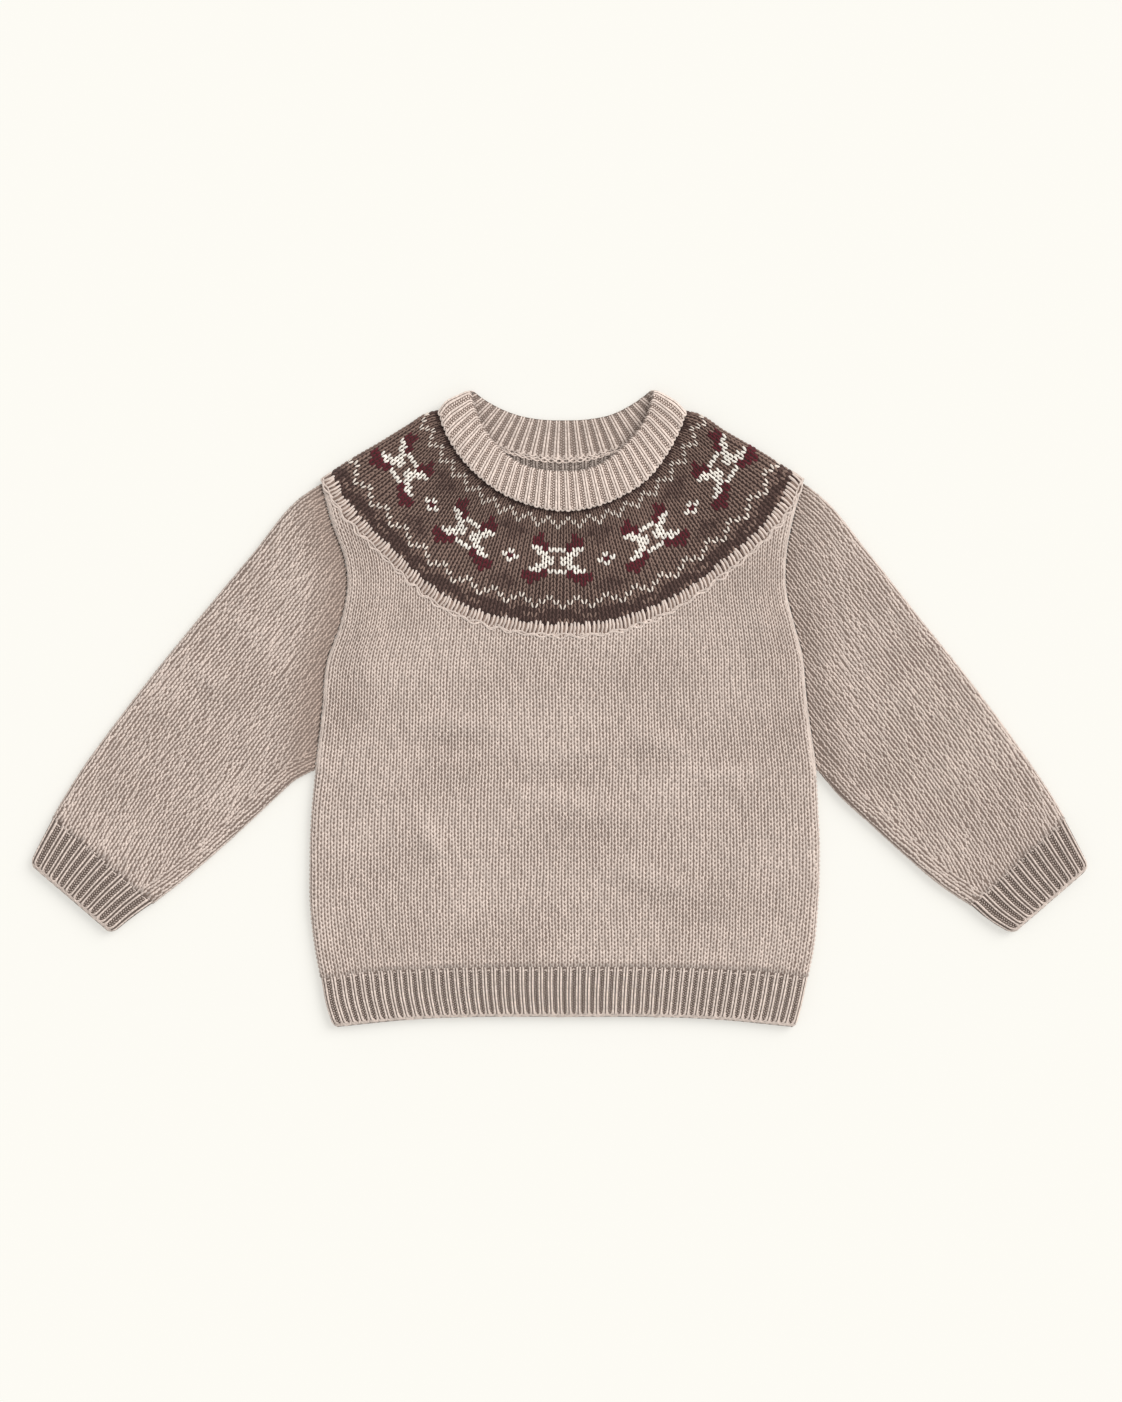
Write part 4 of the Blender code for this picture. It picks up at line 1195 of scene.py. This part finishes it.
def make_neck_strip(materials):
    """The ribbed strip inside the back of the neck, which shows below the back of the neckband, its yarn and
    cloth dark with painted shade.
    """
    near = line_through(NECK_SEAM_BACK)
    near = near[np.abs(near[:, 0]) < STRIP_REACH]
    far = near - np.array([0.0, STRIP_DEPTH])
    plan = patch(near, far, np.linspace(near[0], far[0], 9), np.linspace(near[-1], far[-1], 9))

    def place(column, row):
        places = plan(column / STRIP_RIBS, 1 - row / STRIP_ROWS)
        return with_level(places, np.full(places.shape[:-1], STRIP_FACE))

    column, row = np.meshgrid(np.linspace(0, STRIP_RIBS, 41), np.linspace(0, STRIP_ROWS, 5))
    lift = raised(place, 1)
    shell = layer("neck_strip_cloth", lift, column, row, STRIP_CLOTH, 1, materials["rib_cloth"])
    yarn = Yarn()
    size = (2 * STRIP_REACH / STRIP_RIBS, STRIP_DEPTH / STRIP_ROWS)
    add_ribs(yarn, place, 1, STRIP_RIBS, STRIP_ROWS, size, LEAF, bump=STRIP_BUMP_PAINTED_SHADE, leg=STRIP_LEG_PAINTED_SHADE)
    return shell, yarn.piece("neck_strip_stitches", materials["beige"])


def fabric_nodes(name, roughness):
    material = bpy.data.materials.new(name)
    material.use_nodes = True
    tree = material.node_tree
    shader = tree.nodes["Principled BSDF"]
    shader.inputs["Roughness"].default_value = roughness
    shader.inputs["Specular IOR Level"].default_value = 0.25
    shader.inputs["Sheen Weight"].default_value = 0.25
    shader.inputs["Sheen Roughness"].default_value = 0.5
    return material, tree, shader


def feed(tree, socket, value):
    """Link a socket to the value where that is a socket too, and otherwise set it."""
    if isinstance(value, bpy.types.NodeSocket):
        tree.links.new(value, socket)
    else:
        socket.default_value = value


def node(tree, kind, **inputs):
    """A node with its inputs fed by name."""
    made = tree.nodes.new(kind)
    for key, value in inputs.items():
        feed(tree, made.inputs[key.replace("_", " ")], value)
    return made


def math_node(tree, operation, *values):
    """The result of a sum on values or sockets."""
    made = tree.nodes.new("ShaderNodeMath")
    made.operation = operation
    for socket, value in zip(made.inputs, values):
        feed(tree, socket, value)
    return made.outputs[0]


def scaled(tree, colour, share):
    """A colour times a share."""
    mix = tree.nodes.new("ShaderNodeVectorMath")
    mix.operation = "SCALE"
    feed(tree, mix.inputs[0], colour)
    feed(tree, mix.inputs["Scale"], share)
    return mix.outputs[0]


def yarn_material(name, colour, tinted=False):
    """Soft marled yarn: fibre noise, a tone for each leaf, and plies that wind round it.

    Tinted yarn takes its colour from its leaves: the yoke's chart colours, and the sleeves' beige with
    painted shade by the armholes.
    """
    material, tree, shader = fabric_nodes(name, 0.95)
    place = tree.nodes.new("ShaderNodeTexCoord").outputs["Object"]
    yarn = tree.nodes.new("ShaderNodeAttribute")
    yarn.attribute_name = "yarn"
    parts = node(tree, "ShaderNodeSeparateXYZ", Vector=yarn.outputs["Vector"])
    side, share, tone = parts.outputs
    marl = node(tree, "ShaderNodeTexNoise", Vector=place, Scale=650.0, Detail=3.0, Roughness=0.6)
    patches = node(tree, "ShaderNodeTexNoise", Vector=place, Scale=60.0, Detail=2.0, Roughness=0.5)
    value = math_node(tree, "MULTIPLY_ADD", tone, 0.26, 0.62)
    marled = math_node(tree, "MULTIPLY_ADD", marl.outputs["Fac"], 0.42, value)
    patched = math_node(tree, "MULTIPLY_ADD", patches.outputs["Fac"], 0.12, marled)
    if tinted:
        tint = tree.nodes.new("ShaderNodeAttribute")
        tint.attribute_name = "tint"
        colour = tint.outputs["Color"]
    tree.links.new(scaled(tree, colour, patched), shader.inputs["Base Color"])
    along_leaf = math_node(tree, "MULTIPLY", share, 16.0)
    across_leaf = math_node(tree, "MULTIPLY", side, 2.6)
    plies = math_node(tree, "SINE", math_node(tree, "ADD", along_leaf, across_leaf))
    fibres = node(tree, "ShaderNodeTexNoise", Vector=place, Scale=4200.0, Detail=2.0, Roughness=0.7)
    relief = math_node(tree, "MULTIPLY_ADD", plies, 0.3, fibres.outputs["Fac"])
    bump = node(tree, "ShaderNodeBump", Strength=0.55, Distance=0.00022, Height=relief)
    tree.links.new(bump.outputs["Normal"], shader.inputs["Normal"])
    return material


def cloth_material(name, colour):
    """The cloth between and behind the stitches: the knit's own fabric, in a dark colour that is painted
    shade of the gaps between stitches.
    """
    material, tree, shader = fabric_nodes(name, 0.98)
    place = tree.nodes.new("ShaderNodeTexCoord").outputs["Object"]
    marl = node(tree, "ShaderNodeTexNoise", Vector=place, Scale=900.0, Detail=3.0, Roughness=0.65)
    value = math_node(tree, "MULTIPLY_ADD", marl.outputs["Fac"], 0.9, 0.55)
    tree.links.new(scaled(tree, colour, value), shader.inputs["Base Color"])
    bump = node(tree, "ShaderNodeBump", Strength=0.6, Distance=0.0004, Height=marl.outputs["Fac"])
    tree.links.new(bump.outputs["Normal"], shader.inputs["Normal"])
    return material


def make_stage():
    """A plain pale floor, soft light from the upper right, and the camera straight above."""
    scene = bpy.context.scene
    scene.view_settings.view_transform = "Standard"
    scene.view_settings.look = "None"
    world = bpy.data.worlds.new("studio")
    world.use_nodes = True
    background = world.node_tree.nodes["Background"]
    background.inputs["Color"].default_value = WORLD_COLOUR
    background.inputs["Strength"].default_value = WORLD_STRENGTH
    scene.world = world

    bpy.ops.mesh.primitive_plane_add(size=FLOOR_SIZE, location=(0.0, 0.0, FLOOR_LEVEL))
    floor = bpy.context.object
    floor.name = "floor"
    material = bpy.data.materials.new("floor")
    material.use_nodes = True
    shader = material.node_tree.nodes["Principled BSDF"]
    shader.inputs["Base Color"].default_value = FLOOR_COLOUR
    shader.inputs["Roughness"].default_value = 1.0
    shader.inputs["Specular IOR Level"].default_value = 0.0
    shader.inputs["Emission Color"].default_value = FLOOR_GLOW
    shader.inputs["Emission Strength"].default_value = FLOOR_GLOW_STRENGTH
    floor.data.materials.append(material)

    sun = bpy.data.lights.new("window", "SUN")
    sun.energy = SUN_STRENGTH
    sun.angle = math.radians(SUN_ANGLE)
    sun.color = SUN_COLOUR
    lamp = bpy.data.objects.new("window", sun)
    lamp.rotation_euler = tuple(math.radians(turn) for turn in SUN_TURN)
    scene.collection.objects.link(lamp)

    lens = bpy.data.cameras.new("camera")
    lens.lens = LENS
    lens.sensor_width = SENSOR
    camera = bpy.data.objects.new("camera", lens)
    distance = LENS / SENSOR * FRAME_HEIGHT
    camera.location = (FRAME_MIDDLE[0], FRAME_MIDDLE[1], CAMERA_FOCUS + distance)
    lens.clip_end = 2 * distance
    scene.collection.objects.link(camera)
    scene.camera = camera



def main():
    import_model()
    materials = {
        "beige": yarn_material("beige_yarn", BEIGE),
        "cloth": cloth_material("beige_cloth", BEIGE_SHADE),
        "rib_cloth": cloth_material("rib_cloth", RIB_SHADE),
        "dye_and_painted_shade": yarn_material("dye_and_painted_shade_yarn", BROWN, tinted=True),
        "yoke_cloth": cloth_material("yoke_cloth", YOKE_SHADE),
    }
    make_stage()
    made = {
        "body_front": make_body(1, "body_front", materials, LEAF),
        "body_back": make_body(-1, "body_back", materials, SHORT_LEAF),
        "hem_front": make_hem(1, "hem_front", materials),
        "hem_back": make_hem(-1, "hem_back", materials),
        "yoke": make_yoke(materials),
        "neckband": make_neckband(materials),
    }
    for side in SIDES:
        made[f"sleeve_{side}"] = make_sleeve(side, materials)
        made[f"cuff_{side}"] = make_cuff(side, materials)
    for name, pieces in made.items():
        slot, flat, area, beneath = SHEETS[name] if name in SHEETS else SHEETS[name.split("_")[0]]
        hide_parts(name)
        for piece in pieces:
            "beige_knit" if piece.name == "yoke_edge_loops" else slot
        list(pieces[1:])
        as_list(beneath)


main()
